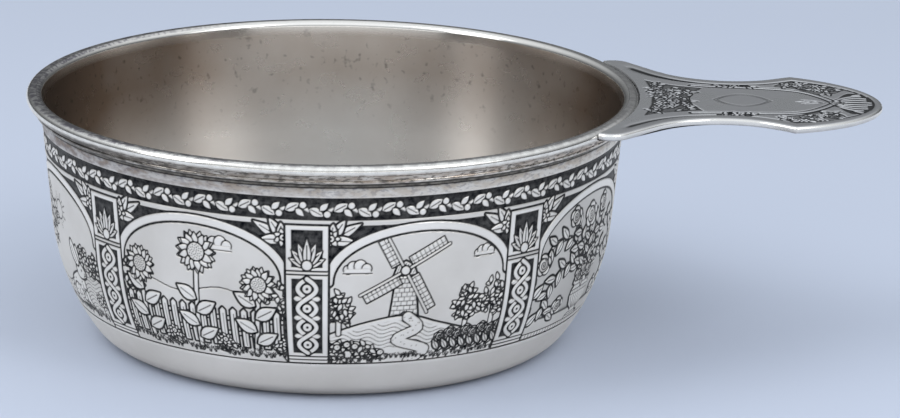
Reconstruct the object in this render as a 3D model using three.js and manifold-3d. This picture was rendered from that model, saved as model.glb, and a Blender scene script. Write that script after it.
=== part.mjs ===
// A child's sterling porringer: a spun bowl with a moulded rim wire and one flat struck handle,
// all held together with silver solder. Millimetres, +Z up, the origin at the middle of the flat
// base where it stands on the table, and the handle along +X, level with the rim.
import * as THREE from 'three';
import { mergeVertices } from 'three/addons/utils/BufferGeometryUtils.js';
import Module from 'manifold-3d';

const wasm = await Module();
wasm.setup();

// Bowl, spun from one sheet
const SHEET = 0.7;
const RIM_TOP = 51.9;
const WALL_RADIUS = 60.8;
const WALL_DRAUGHT = 5.3;
const BELLY_RADIUS = 44.9;
const HEEL_RADIUS = 7.7;
const HEEL_ANGLE = 35.6;
const LIP_RADIUS = 1.5;
const LIP_ANGLE = 60;
const LIP_DROP = 0.4;

// Etched band: two fine cut lines frame it, one under the rim and one above the heel
const BAND_DROP = 6.95;
const BAND_FOOT = 9.1;
const BAND_LINE_WIDTH = 0.5;
const BAND_LINE_DEPTH = 0.15;

// Moulded rim wire: how far it stands out from the wall, and its section from the top down
const RIM_WIDTH = 2.7;
const RIM_DEPTH = 4.1;
const RIM_TOP_CHAMFER = 0.3;
const BEAD_RADIUS = 1.1;
const BEAD_UNDERCUT = 40;
const COVE_RADIUS = 1.15;
const QUIRK = 0.3;
const FOOT_BEAD_RADIUS = 0.62;

// Solder: the seam left between two pieces, and the size of each fillet
const SEAM = 0.12;
const RIM_FILLET = 0.6;
const HANDLE_FILLET = 1.1;
const HANDLE_FILLET_DEPTH = 0.3;

// Handle, in plan: places out from the rim, half widths, and the curves between them
const WAIST_OUT = 18.3;
const WAIST_HALF = 16.2;
const WAIST_RADIUS = 19.3;
const WAIST_PULL = 6.9;
const WING_ANGLE = 50.3;
const WING_HALF = 31.8;
const WING_END_RADIUS = 4.0;
const SHOULDER_OUT = 31.7;
const SHOULDER_HALF = 21.4;
const SHOULDER_RISE = 29.7;
const SHOULDER_PULL = 4.5;
const SHOULDER_FALL = 20.3;
const TIP_ROUND = 14.5;
const TIP_OUT = 50.1;
const TIP_PULL = 6.7;

// Handle, in section
const HANDLE_DROP = 0.05;
const HANDLE_THICKNESS = 1.4;
const FIELD_DEPTH = 0.45;
const BORDER_WIDTH = 2.2;
const EDGE_ROUND = 0.25;

// Facets round the bowl
const SEGMENTS = 84;

const radians = THREE.MathUtils.degToRad;
const draught = radians(WALL_DRAUGHT);
const heelAngle = radians(HEEL_ANGLE);
const lipAngle = radians(LIP_ANGLE);
const rimRadius = WALL_RADIUS + RIM_WIDTH;

// Points of an arc about (x, y), from one angle to another
function arc(x, y, radius, from, to, steps) {
  const points = [];
  for (let i = 0; i <= steps; i += 1) {
    const angle = from + ((to - from) * i) / steps;
    points.push(new THREE.Vector2(x + radius * Math.cos(angle), y + radius * Math.sin(angle)));
  }
  return points;
}

// Centre of the lip's flare: both faces of the flared sheet are arcs about it
const flareStart = RIM_TOP - LIP_DROP - LIP_RADIUS * (Math.sin(lipAngle) - Math.sin(draught));
const flare = new THREE.Vector2(
  WALL_RADIUS + (LIP_RADIUS - SHEET) * Math.cos(draught),
  flareStart - LIP_RADIUS * Math.sin(draught),
);
const bellyTop = HEEL_RADIUS * (1 - Math.sin(heelAngle))
  + BELLY_RADIUS * (Math.sin(heelAngle) - Math.sin(draught));

// Outside radius of the straight wall at a height
function wallRadius(height) {
  const start = flareStart - (LIP_RADIUS - SHEET) * Math.sin(draught);
  return WALL_RADIUS - (start - height) * Math.tan(draught);
}

// Centre of the belly's arc and of the heel's arc, shared by both faces of the sheet
const belly = new THREE.Vector2(
  wallRadius(bellyTop) - BELLY_RADIUS * Math.cos(draught),
  bellyTop + BELLY_RADIUS * Math.sin(draught),
);
const heel = new THREE.Vector2(
  belly.x + (BELLY_RADIUS - HEEL_RADIUS) * Math.cos(heelAngle),
  HEEL_RADIUS,
);

// One face of the bowl from the axis to the lip, at a depth inside the outer face
function bowlFace(depth) {
  return [
    new THREE.Vector2(0, depth),
    ...arc(heel.x, heel.y, HEEL_RADIUS - depth, -Math.PI / 2, -heelAngle, 5),
    ...arc(belly.x, belly.y, BELLY_RADIUS - depth, -heelAngle, -draught, 6).slice(1),
    ...arc(flare.x, flare.y, LIP_RADIUS - SHEET + depth, Math.PI - draught, Math.PI - lipAngle, 4),
  ];
}

// A fine line cut into the outer face, centred on a height, with a flat floor
function bandLine(height) {
  const half = BAND_LINE_WIDTH / 2;
  const floor = half / 2;
  const steps = [[-half, 0], [-floor, 1], [floor, 1], [half, 0]];
  return steps.map(([rise, sunk]) => {
    const z = height + rise;
    return new THREE.Vector2(outerRadius(z) - sunk * BAND_LINE_DEPTH, z);
  });
}

// Outside radius of the bowl at any height up to the flare
function outerRadius(height) {
  const heelTop = heel.y - HEEL_RADIUS * Math.sin(heelAngle);
  if (height >= bellyTop) {
    return wallRadius(height);
  }
  const centre = height >= heelTop ? belly : heel;
  const radius = height >= heelTop ? BELLY_RADIUS : HEEL_RADIUS;
  return centre.x + Math.sqrt(radius ** 2 - (centre.y - height) ** 2);
}

// The whole sheet: out along the base, up the outer face with its two lines, and down the inside
function bowlProfile() {
  const lines = [BAND_FOOT, RIM_TOP - BAND_DROP];
  const outer = bowlFace(0).filter((point) => (
    lines.every((height) => Math.abs(point.y - height) > BAND_LINE_WIDTH)
  ));
  lines.forEach((height) => outer.push(...bandLine(height)));
  outer.sort((a, b) => a.y - b.y || a.x - b.x);
  return [...outer, ...bowlFace(SHEET).reverse()];
}

// Centre of the rim wire's bead
const bead = new THREE.Vector2(rimRadius - BEAD_RADIUS, RIM_TOP - BEAD_RADIUS);

// Section of the rim wire: up round the small foot bead, the cove and the bead, in along the flat
// top, over the lip's edge and down the lip's outer side
function rimProfile() {
  const inner = LIP_RADIUS - SHEET - SEAM;
  const past = lipAngle + SEAM / (LIP_RADIUS - SHEET);
  const edgeX = flare.x - LIP_RADIUS * Math.cos(past);
  const edgeY = flare.y + LIP_RADIUS * Math.sin(past);
  const foot = RIM_TOP - RIM_DEPTH;
  const under = radians(BEAD_UNDERCUT);
  const beadEnd = bead.clone().add(
    new THREE.Vector2(BEAD_RADIUS * Math.cos(under), -BEAD_RADIUS * Math.sin(under)),
  );
  const coveY = beadEnd.y - COVE_RADIUS;
  const footBeadX = beadEnd.x - COVE_RADIUS - QUIRK - FOOT_BEAD_RADIUS * Math.cos(under);
  return [
    new THREE.Vector2(wallRadius(foot) + SEAM, foot),
    ...arc(footBeadX, foot + FOOT_BEAD_RADIUS, FOOT_BEAD_RADIUS, -Math.PI / 2, under, 4),
    ...arc(beadEnd.x, coveY, COVE_RADIUS, Math.PI, Math.PI / 2, 4).slice(0, -1),
    ...arc(bead.x, bead.y, BEAD_RADIUS, -under, Math.PI / 2, 6),
    new THREE.Vector2(edgeX + RIM_TOP_CHAMFER, RIM_TOP),
    new THREE.Vector2(edgeX, edgeY),
    ...arc(flare.x, flare.y, inner, Math.PI - past, Math.PI - draught, 4),
  ];
}

// Solder under the rim wire: a hollow fillet, a quarter circle against the wall
function rimSolderProfile() {
  const top = RIM_TOP - RIM_DEPTH - SEAM;
  const foot = top - RIM_FILLET;
  const wall = wallRadius(top) + SEAM;
  const toe = RIM_FILLET * 0.1;
  return [
    new THREE.Vector2(wallRadius(foot) + SEAM, foot),
    ...arc(wall + toe + RIM_FILLET, foot, RIM_FILLET, Math.PI, Math.PI / 2, 3),
    new THREE.Vector2(wall, top),
  ];
}

// A closed ring or bowl turned about the Z axis
function turned(profile) {
  const closed = profile[0].x > 0 ? [...profile, profile[0]] : profile;
  const geometry = new THREE.LatheGeometry(closed, SEGMENTS);
  geometry.rotateX(Math.PI / 2);
  return bare(geometry);
}

// Positions and faces alone, with the shared points merged
function bare(geometry) {
  geometry.deleteAttribute('normal');
  geometry.deleteAttribute('uv');
  return mergeVertices(geometry, 1e-5);
}

function solid(geometry) {
  return new wasm.Manifold(new wasm.Mesh({
    numProp: 3,
    vertProperties: new Float32Array(geometry.attributes.position.array),
    triVerts: new Uint32Array(geometry.index.array),
  }));
}

function fromSolid(shape) {
  const mesh = shape.getMesh();
  const geometry = new THREE.BufferGeometry();
  geometry.setAttribute('position', new THREE.BufferAttribute(mesh.vertProperties, 3));
  geometry.setIndex(new THREE.BufferAttribute(mesh.triVerts, 1));
  return geometry;
}

// Half of the handle's outline, from inside the rim round the wing, the waist and the shoulder to
// the tip. The wing's end is an arc that touches the straight side, and the side touches the waist.
function halfOutline() {
  const waistX = rimRadius + WAIST_OUT;
  const shoulderX = rimRadius + SHOULDER_OUT;
  const tipX = rimRadius + TIP_OUT;
  const wing = radians(WING_ANGLE);
  const waist = new THREE.Vector2(waistX, WAIST_HALF + WAIST_RADIUS);
  const sideEnd = new THREE.Vector2(
    waist.x - WAIST_RADIUS * Math.sin(wing),
    waist.y - WAIST_RADIUS * Math.cos(wing),
  );
  const endY = WING_HALF - WING_END_RADIUS;
  const endX = sideEnd.x
    - (WING_END_RADIUS + (endY - sideEnd.y) * Math.cos(wing)) / Math.sin(wing);
  const rise = radians(SHOULDER_RISE);
  const flank = new THREE.CubicBezierCurve(
    new THREE.Vector2(waistX, WAIST_HALF),
    new THREE.Vector2(waistX + WAIST_PULL, WAIST_HALF),
    new THREE.Vector2(
      shoulderX - SHOULDER_PULL * Math.cos(rise),
      SHOULDER_HALF - SHOULDER_PULL * Math.sin(rise),
    ),
    new THREE.Vector2(shoulderX, SHOULDER_HALF),
  );
  const fall = radians(SHOULDER_FALL);
  const tip = new THREE.CubicBezierCurve(
    flank.v3,
    new THREE.Vector2(
      shoulderX + TIP_ROUND * Math.cos(fall),
      SHOULDER_HALF - TIP_ROUND * Math.sin(fall),
    ),
    new THREE.Vector2(tipX, TIP_PULL),
    new THREE.Vector2(tipX, 0),
  );
  // out of sight inside the rim, where the border is cut away with it
  const hidden = new THREE.Vector2(endX - 2 * WING_END_RADIUS, endY - 2 * WING_END_RADIUS);
  return [
    hidden,
    ...arc(endX, endY, WING_END_RADIUS, radians(150), Math.PI / 2 - wing, 6),
    ...arc(waist.x, waist.y, WAIST_RADIUS, -Math.PI / 2 - wing, -Math.PI / 2, 6),
    ...flank.getPoints(5).slice(1, -1),
    ...tip.getPoints(12),
  ];
}

// The whole outline, anticlockwise from the tip
function outline() {
  const upper = halfOutline().reverse();
  const lower = halfOutline().slice(0, -1).map((point) => new THREE.Vector2(point.x, -point.y));
  return [...upper, ...lower];
}

// Each point moved inwards along its corner's bisector
function inset(points, distance) {
  const count = points.length;
  return points.map((point, i) => {
    const before = point.clone().sub(points[(i + count - 1) % count]).normalize();
    const after = points[(i + 1) % count].clone().sub(point).normalize();
    const bisector = before.clone().add(after).normalize();
    const inwards = new THREE.Vector2(-bisector.y, bisector.x);
    const stretch = bisector.dot(after);
    return point.clone().addScaledVector(inwards, distance / stretch);
  });
}

// A plate that is closed by caps and has one ring of points for each [inset, height]
function lofted(points, rings) {
  const count = points.length;
  const position = [];
  const index = [];
  rings.forEach(([distance, height]) => {
    inset(points, distance).forEach((point) => position.push(point.x, point.y, height));
  });
  for (let ring = 0; ring < rings.length - 1; ring += 1) {
    for (let i = 0; i < count; i += 1) {
      const a = ring * count + i;
      const b = ring * count + ((i + 1) % count);
      index.push(a, b, b + count, a, b + count, a + count);
    }
  }
  const topStart = (rings.length - 1) * count;
  const bottom = inset(points, rings[0][0]);
  const top = inset(points, rings[rings.length - 1][0]);
  THREE.ShapeUtils.triangulateShape(bottom, []).forEach(([a, b, c]) => index.push(a, c, b));
  THREE.ShapeUtils.triangulateShape(top, []).forEach(([a, b, c]) => {
    index.push(topStart + a, topStart + b, topStart + c);
  });
  const geometry = new THREE.BufferGeometry();
  geometry.setAttribute('position', new THREE.Float32BufferAttribute(position, 3));
  geometry.setIndex(index);
  return geometry;
}

const handleTop = RIM_TOP - HANDLE_DROP;
const handleBottom = handleTop - HANDLE_THICKNESS;

// Everything inside the rim's outer face, as a plug in phase with the rim's facets
function rimPlug(radius) {
  const reach = RIM_TOP / 2;
  return solid(turned([
    new THREE.Vector2(0, RIM_TOP - reach),
    new THREE.Vector2(radius, RIM_TOP - reach),
    new THREE.Vector2(radius, RIM_TOP + reach),
    new THREE.Vector2(0, RIM_TOP + reach),
  ]));
}

// Struck handle: a flat field inside a raised rounded border, its root cut to the rim
function handleGeometry() {
  const plate = lofted(outline(), [
    [EDGE_ROUND, handleBottom],
    [0, handleBottom + EDGE_ROUND],
    [0, handleTop - BORDER_WIDTH * 0.2],
    [BORDER_WIDTH * 0.2, handleTop - FIELD_DEPTH * 0.2],
    [BORDER_WIDTH * 0.5, handleTop],
    [BORDER_WIDTH * 0.82, handleTop - FIELD_DEPTH * 0.3],
    [BORDER_WIDTH, handleTop - FIELD_DEPTH],
  ]);
  return fromSolid(solid(plate).subtract(rimPlug(rimRadius + SEAM)));
}

// Solder under the handle's root: a crescent between the bead and the plate's underside
function handleSolderGeometry() {
  const top = handleBottom - SEAM;
  const radius = BEAD_RADIUS + SEAM;
  const start = Math.atan2(top - bead.y, BEAD_RADIUS);
  const inner = arc(bead.x, bead.y, radius, start, start - HANDLE_FILLET_DEPTH / radius, 2);
  const edge = inner[0];
  const toe = inner[inner.length - 1];
  const ring = turned([
    new THREE.Vector2((edge.x + toe.x + HANDLE_FILLET) / 2, (2 * top + toe.y) / 3),
    new THREE.Vector2(edge.x + HANDLE_FILLET, top),
    ...inner,
  ]);
  const plan = lofted(outline(), [[EDGE_ROUND * 2, RIM_TOP / 2], [EDGE_ROUND * 2, RIM_TOP]]);
  return fromSolid(solid(ring).intersect(solid(plan)));
}

function piece(name, geometry, color, roughness) {
  const material = new THREE.MeshStandardMaterial({ color, roughness, metalness: 1 });
  const mesh = new THREE.Mesh(geometry, material);
  mesh.name = name;
  return mesh;
}

const porringer = new THREE.Group();
porringer.add(piece('bowl', turned(bowlProfile()), 0xa9a7a2, 0.34));
porringer.add(piece('rim_wire', turned(rimProfile()), 0xc6c5c2, 0.22));
porringer.add(piece('handle', handleGeometry(), 0xb0afac, 0.3));
porringer.add(piece('rim_solder', turned(rimSolderProfile()), 0x8d8982, 0.4));
porringer.add(piece('handle_solder', handleSolderGeometry(), 0x8d8982, 0.4));

export default porringer;
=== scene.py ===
"""The looks of a child's silver porringer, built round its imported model.

A silversmith spins the bowl from one sheet, etches its band, solders a moulded wire round the lip and
a struck handle to the wire. Each of these jobs is one operator here. Sizes in the code are in
millimetres, and meshes are in metres. The origin is the middle of the flat base, +Z is up, and +X
runs along the handle.
"""

import math
import random
from types import SimpleNamespace

import bpy
import numpy as np
from bpy.props import FloatProperty, FloatVectorProperty, IntProperty, PointerProperty
from bpy.types import Operator, Panel, PropertyGroup
from mathutils import Matrix, Vector


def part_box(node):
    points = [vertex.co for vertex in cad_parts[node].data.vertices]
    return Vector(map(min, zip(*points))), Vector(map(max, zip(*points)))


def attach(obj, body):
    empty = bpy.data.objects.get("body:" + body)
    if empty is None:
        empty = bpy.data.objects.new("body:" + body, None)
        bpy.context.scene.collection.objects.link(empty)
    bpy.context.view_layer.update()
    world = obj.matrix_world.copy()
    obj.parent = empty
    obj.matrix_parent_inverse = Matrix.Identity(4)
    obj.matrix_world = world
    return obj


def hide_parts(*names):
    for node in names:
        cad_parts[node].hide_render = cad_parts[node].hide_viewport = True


bl_info = {
    "name": "Silver Porringer",
    "version": (1, 0, 0),
    "blender": (4, 5, 0),
    "location": "3D View > Sidebar > Porringer",
    "description": "Builds the looks of a child's silver porringer round its packed model",
    "category": "Add Mesh",
}

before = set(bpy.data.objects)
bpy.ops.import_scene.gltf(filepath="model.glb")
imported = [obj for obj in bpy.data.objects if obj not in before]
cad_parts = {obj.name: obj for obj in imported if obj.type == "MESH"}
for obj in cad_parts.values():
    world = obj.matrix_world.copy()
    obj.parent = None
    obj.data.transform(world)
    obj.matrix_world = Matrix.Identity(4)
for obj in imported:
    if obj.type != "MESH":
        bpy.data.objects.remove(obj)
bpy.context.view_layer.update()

MM = 0.001
RIM_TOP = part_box("rim_wire")[1].z / MM
RIM_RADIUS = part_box("rim_wire")[1].x / MM
HANDLE_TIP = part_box("handle")[1].x / MM
HANDLE_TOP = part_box("handle")[1].z / MM
HANDLE_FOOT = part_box("handle")[0].z / MM

# Frame of the photograph, and where the middle of the rim lies in it
PHOTO_WIDTH = 900
PHOTO_HEIGHT = 418
RIM_MIDDLE_PIXEL = (333.63, 86.97)
SENSOR_WIDTH = 36.0


# Properties

def linear(code):
    """Scene colour of an sRGB hex code."""
    channels = [int(code[i:i + 2], 16) / 255 for i in (1, 3, 5)]
    return tuple(c / 12.92 if c <= 0.04045 else ((c + 0.055) / 1.055) ** 2.4 for c in channels)


def length(name, description, millimetres):
    return FloatProperty(name=name, description=description, default=millimetres * MM,
                         min=0.0, subtype="DISTANCE", unit="LENGTH", precision=5)


def turn(name, description, degrees):
    return FloatProperty(name=name, description=description, default=math.radians(degrees),
                         subtype="ANGLE", unit="ROTATION")


def colour(name, description, code):
    return FloatVectorProperty(name=name, description=description, default=linear(code),
                               min=0.0, max=1.0, size=3, subtype="COLOR")


class BowlSettings(PropertyGroup):
    sheet: length("Sheet", "Thickness of the spun sheet", 0.7)
    wall_radius: length("Wall radius", "Outside radius of the wall where the lip starts", 60.84)
    draught: turn("Draught", "How far the wall leans out", 5.3)
    belly_radius: length("Belly radius", "Radius of the large curve under the wall", 44.9)
    heel_radius: length("Heel radius", "Radius of the small curve above the base", 7.7)
    heel_angle: turn("Heel angle", "Where the small curve meets the large one", 35.6)
    lip_radius: length("Lip radius", "Inside radius of the flared lip", 1.3)
    lip_angle: turn("Lip angle", "How far the lip is flared", 90)
    lip_drop: length("Lip drop", "From the rim's top down to the lip's edge", 0.0)
    segments: IntProperty(name="Segments", description="Facets round the bowl", default=256, min=32)


class BandSettings(PropertyGroup):
    foot: length("Foot", "Height of the band's lower line", 9.1)
    drop: length("Drop", "From the rim's top down to the band's upper line", 6.95)
    seat: length("Seat", "Depth of the sheet that the etched bays stand for", 0.5)
    depth: length("Etching depth", "How deep the acid has bitten", 0.22)
    columns: IntProperty(name="Columns", description="Cells across, a multiple of 8", default=232, min=64)
    rows: IntProperty(name="Rows", description="Cells up, a multiple of 8", default=184, min=64)
    bays: IntProperty(name="Bays", description="Pictures round the bowl, a multiple of 4", default=8, min=4)


class RimSettings(PropertyGroup):
    depth: length("Depth", "Height of the moulded wire", 4.1)
    bead: length("Bead radius", "Radius of the large bead", 1.1)
    undercut: turn("Undercut", "Where the bead gives way to the hollow below it", 40)
    cove: length("Cove radius", "Radius of the hollow", 1.15)
    quirk: length("Quirk", "Small step between the hollow and the foot bead", 0.3)
    foot_bead: length("Foot bead radius", "Radius of the small bead at the wire's foot", 0.62)
    seam: length("Seam", "Gap between the wire and the sheet", 0.02)
    fillet: length("Fillet", "Size of the solder under the wire", 0.6)


class HandleSettings(PropertyGroup):
    waist_out: length("Waist out", "From the rim to the narrowest place", 18.3)
    waist_half: length("Waist", "Half the narrowest width", 16.2)
    waist_radius: length("Waist radius", "Radius of the hollow side", 19.3)
    waist_pull: length("Waist pull", "How long the waist runs on", 6.9)
    wing_angle: turn("Wing angle", "Slope of the side that runs to the rim", 50.3)
    wing_half: length("Wing", "Half the width at the rim", 31.8)
    wing_end: length("Wing end radius", "Radius of the wing's end", 4.0)
    shoulder_out: length("Shoulder out", "From the rim to the shoulder", 31.7)
    shoulder_half: length("Shoulder", "Half the width at the shoulder", 21.4)
    shoulder_rise: turn("Shoulder rise", "Slope of the side before the shoulder", 29.7)
    shoulder_pull: length("Shoulder pull", "How long that slope runs", 4.5)
    shoulder_fall: turn("Shoulder fall", "Slope of the side after the shoulder", 20.3)
    tip_round: length("Tip round", "How full the tip is at its sides", 14.5)
    tip_pull: length("Tip pull", "How blunt the tip is", 6.7)
    gap: length("Gap", "Crease between the rim and the handle's root", 0.12)
    border: length("Border", "Width of the plain border", 3.3)
    field_depth: length("Field depth", "From the border's top down to the field", 0.12)
    edge: length("Edge round", "Rounding of the lower edge", 0.25)
    columns: IntProperty(name="Columns", description="Cells across, a multiple of 8", default=280, min=64)
    rows: IntProperty(name="Rows", description="Cells along, a multiple of 8", default=232, min=64)


class FinishSettings(PropertyGroup):
    satin: colour("Satin silver", "Sterling silver dulled by hand wear", "#fcfaf8")
    dull: colour("Dull silver", "Silver under a first breath of tarnish", "#c9c5c0")
    worn: colour("Worn silver", "Silver inside the bowl, rubbed by spoons", "#ecebe9")
    plate: colour("Plate silver", "Silver of the struck handle, cooler and greyer", "#e0e1e3")
    straw: colour("Straw tarnish", "Warm tarnish of places that are not rubbed", "#a8906f")
    # Oxide colour, also used for painted shadow under the rim wire.
    oxide: colour("Oxide", "Dark silver sulphide in the etched places", "#0d1016")
    # Bright silver, also used for the painted highlight on the handle's near edge.
    bright: colour("Bright silver", "Silver polished by use", "#f4f3f0")
    # Grime colour, also used for painted shade in the rim's hollow.
    grime_and_shade: colour("Grime", "Dark grime that is left in the rim's hollow", "#55524f")
    # Patina colour, also used for painted shade and dark reflection on the left of the rim, inside the lip
    # and near the base.
    patina_and_shade: colour("Patina", "Grey patina on the rim's flat top", "#736f7a")
    brown: colour("Brown tarnish", "Brown tarnish inside the bowl", "#a39283")
    # Umber colour for the painted dark reflection at the two ends inside.
    umber_end_shade: colour("Umber tarnish", "Deep tarnish at the two ends inside", "#5c4a3e")
    solder: colour("Solder", "Silver solder, greyer than the sheet", "#85817b")


class StageSettings(PropertyGroup):
    distance: length("Distance", "From the lens to the middle of the rim", 762)
    elevation: turn("Elevation", "Height of the lens above the rim, as an angle", 14.096)
    azimuth: turn("Azimuth", "How far the lens stands towards the handle", 4.76)
    roll: turn("Roll", "Tilt of the picture", 0.534)
    lens: FloatProperty(name="Lens", description="Focal length on a full frame sensor", default=146.51,
                        min=1.0, unit="CAMERA")
    paper: colour("Paper", "Pale blue paper that the bowl stands on", "#c2cbdd")
    mirrored: colour("Mirrored paper", "The paper as the silver mirrors it", "#dde0e6")
    tent: colour("Tent", "White cloth over the table, as the silver mirrors it", "#f7fbff")


class PorringerSettings(PropertyGroup):
    bowl: PointerProperty(type=BowlSettings)
    band: PointerProperty(type=BandSettings)
    rim: PointerProperty(type=RimSettings)
    handle: PointerProperty(type=HandleSettings)
    finish: PointerProperty(type=FinishSettings)
    stage: PointerProperty(type=StageSettings)


def sizes(group):
    """A group's lengths in millimetres, and its other values as they are."""
    found = {}
    for key, rule in group.bl_rna.properties.items():
        if rule.is_runtime:
            value = getattr(group, key)
            found[key] = value / MM if getattr(rule, "unit", "NONE") == "LENGTH" else value
    return SimpleNamespace(**found)


# Nodes and meshes

def add(tree, kind, inputs=None, **settings):
    """Adds a node. Each input takes a value, an output, or a node whose first output is meant."""
    node = tree.nodes.new(kind)
    for name, value in settings.items():
        setattr(node, name, value)
    for key, value in (inputs or {}).items():
        socket = node.inputs[key]
        value = value.outputs[0] if isinstance(value, bpy.types.Node) else value
        if isinstance(value, bpy.types.NodeSocket):
            tree.links.new(value, socket)
        else:
            socket.default_value = (*value, 1.0) if socket.type == "RGBA" else value
    return node


def arc(centre, radius, start, end, steps):
    a = np.linspace(start, end, steps + 1)
    return np.stack([centre[0] + radius * np.cos(a), centre[1] + radius * np.sin(a)], 1)


def bezier(a, b, c, d, steps):
    t = np.linspace(0, 1, steps + 1)[:, None]
    a, b, c, d = (np.asarray(p, float) for p in (a, b, c, d))
    return (1 - t) ** 3 * a + 3 * (1 - t) ** 2 * t * b + 3 * (1 - t) * t * t * c + t ** 3 * d


def run_along(points):
    """How far along a line each of its points lies."""
    return np.concatenate([[0], np.cumsum(np.hypot(*np.diff(points, axis=0).T))])


def at_run(points, where):
    """The points that lie at these distances along a line."""
    run = run_along(points)
    return np.stack([np.interp(where, run, points[:, k]) for k in (0, 1)], -1)


def new_mesh(name, points, edges=(), faces=(), **values):
    """A mesh from points in millimetres, with a number at each point for each keyword."""
    mesh = bpy.data.meshes.new(name)
    mesh.from_pydata((np.asarray(points) * MM).tolist(), edges, faces)
    for key, numbers in values.items():
        mesh.attributes.new(key, "FLOAT", "POINT").data.foreach_set("value", numbers.astype(np.float32))
    return mesh


def new_object(name, data):
    piece = bpy.data.objects.new(name, data)
    bpy.context.scene.collection.objects.link(piece)
    return piece


def as_mesh(piece):
    """Turns what a piece's modifiers make into its plain mesh, and removes them."""
    shown = piece.evaluated_get(bpy.context.evaluated_depsgraph_get())
    mesh = bpy.data.meshes.new_from_object(shown)
    piece.modifiers.clear()
    old, piece.data = piece.data, mesh
    bpy.data.meshes.remove(old)
    mesh.name = piece.name
    return piece


def grow(piece, tree, **inputs):
    """Runs a Geometry Nodes tree on a piece. Its inputs are set by their identifiers."""
    modifier = piece.modifiers.new("Grow", "NODES")
    modifier.node_group = tree
    for item in tree.interface.items_tree:
        key = item.name.lower().replace(" ", "_")
        if item.in_out == "INPUT" and key in inputs:
            modifier[item.identifier] = inputs[key]
    return as_mesh(piece)


def new_tree(name, inputs):
    """An empty Geometry Nodes tree with its named inputs."""
    tree = bpy.data.node_groups.new(name, "GeometryNodeTree")
    tree.interface.new_socket("Geometry", in_out="INPUT", socket_type="NodeSocketGeometry")
    for label, kind in inputs:
        tree.interface.new_socket(label, in_out="INPUT", socket_type="NodeSocket" + kind)
    tree.interface.new_socket("Geometry", in_out="OUTPUT", socket_type="NodeSocketGeometry")
    return tree, add(tree, "NodeGroupInput").outputs


def turning_tree():
    """Turns a section about the Z axis, as a lathe does. The section is drawn from the path outwards."""
    tree, given = new_tree("Turned on a lathe", [("Path Radius", "Float"), ("Segments", "Int"),
                                                 ("Material", "Material")])
    path = add(tree, "GeometryNodeCurvePrimitiveCircle", {"Resolution": given["Segments"],
                                                          "Radius": given["Path Radius"]})
    section = add(tree, "GeometryNodeMeshToCurve", {0: given["Geometry"]})
    swept = add(tree, "GeometryNodeCurveToMesh", {0: path, 1: section})
    poles = add(tree, "GeometryNodeMergeByDistance", {0: swept, "Distance": 0.001 * MM})
    smooth = add(tree, "GeometryNodeSetShadeSmooth", {0: poles})
    real = add(tree, "GeometryNodeRealizeInstances", {0: smooth})
    done = add(tree, "GeometryNodeSetMaterial", {0: real, "Material": given["Material"]})
    add(tree, "NodeGroupOutput", {0: done})
    return tree


def repeating_tree():
    """Repeats a piece round the Z axis at even turns."""
    tree, given = new_tree("Repeated round the bowl", [("Count", "Int"), ("Material", "Material")])
    places = add(tree, "GeometryNodePoints", {"Count": given["Count"]})
    step = add(tree, "ShaderNodeMath", {0: 2 * math.pi, 1: given["Count"]}, operation="DIVIDE")
    number = add(tree, "GeometryNodeInputIndex")
    angle = add(tree, "ShaderNodeMath", {0: step, 1: number}, operation="MULTIPLY")
    about = add(tree, "ShaderNodeCombineXYZ", {"Z": angle})
    copies = add(tree, "GeometryNodeInstanceOnPoints", {"Points": places,
                                                        "Instance": given["Geometry"],
                                                        "Rotation": about})
    real = add(tree, "GeometryNodeRealizeInstances", {0: copies})
    done = add(tree, "GeometryNodeSetMaterial", {0: real, "Material": given["Material"]})
    add(tree, "NodeGroupOutput", {0: done})
    return tree


def turned(name, section, tree, material, segments, closed):
    """A piece turned from a section of (radius, height), drawn with the metal on its right."""
    path = section[:, 0].max()
    count = len(section)
    points = np.stack([section[:, 0] - path, -section[:, 1], np.zeros(count)], 1)
    edges = [(i, i + 1) for i in range(count - 1)] + ([(count - 1, 0)] if closed else [])
    piece = new_object(name, new_mesh(name, points, edges))
    grow(piece, tree, path_radius=path * MM, segments=segments, material=material)
    piece.data.set_sharp_from_angle(angle=math.radians(35))
    return piece


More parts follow.
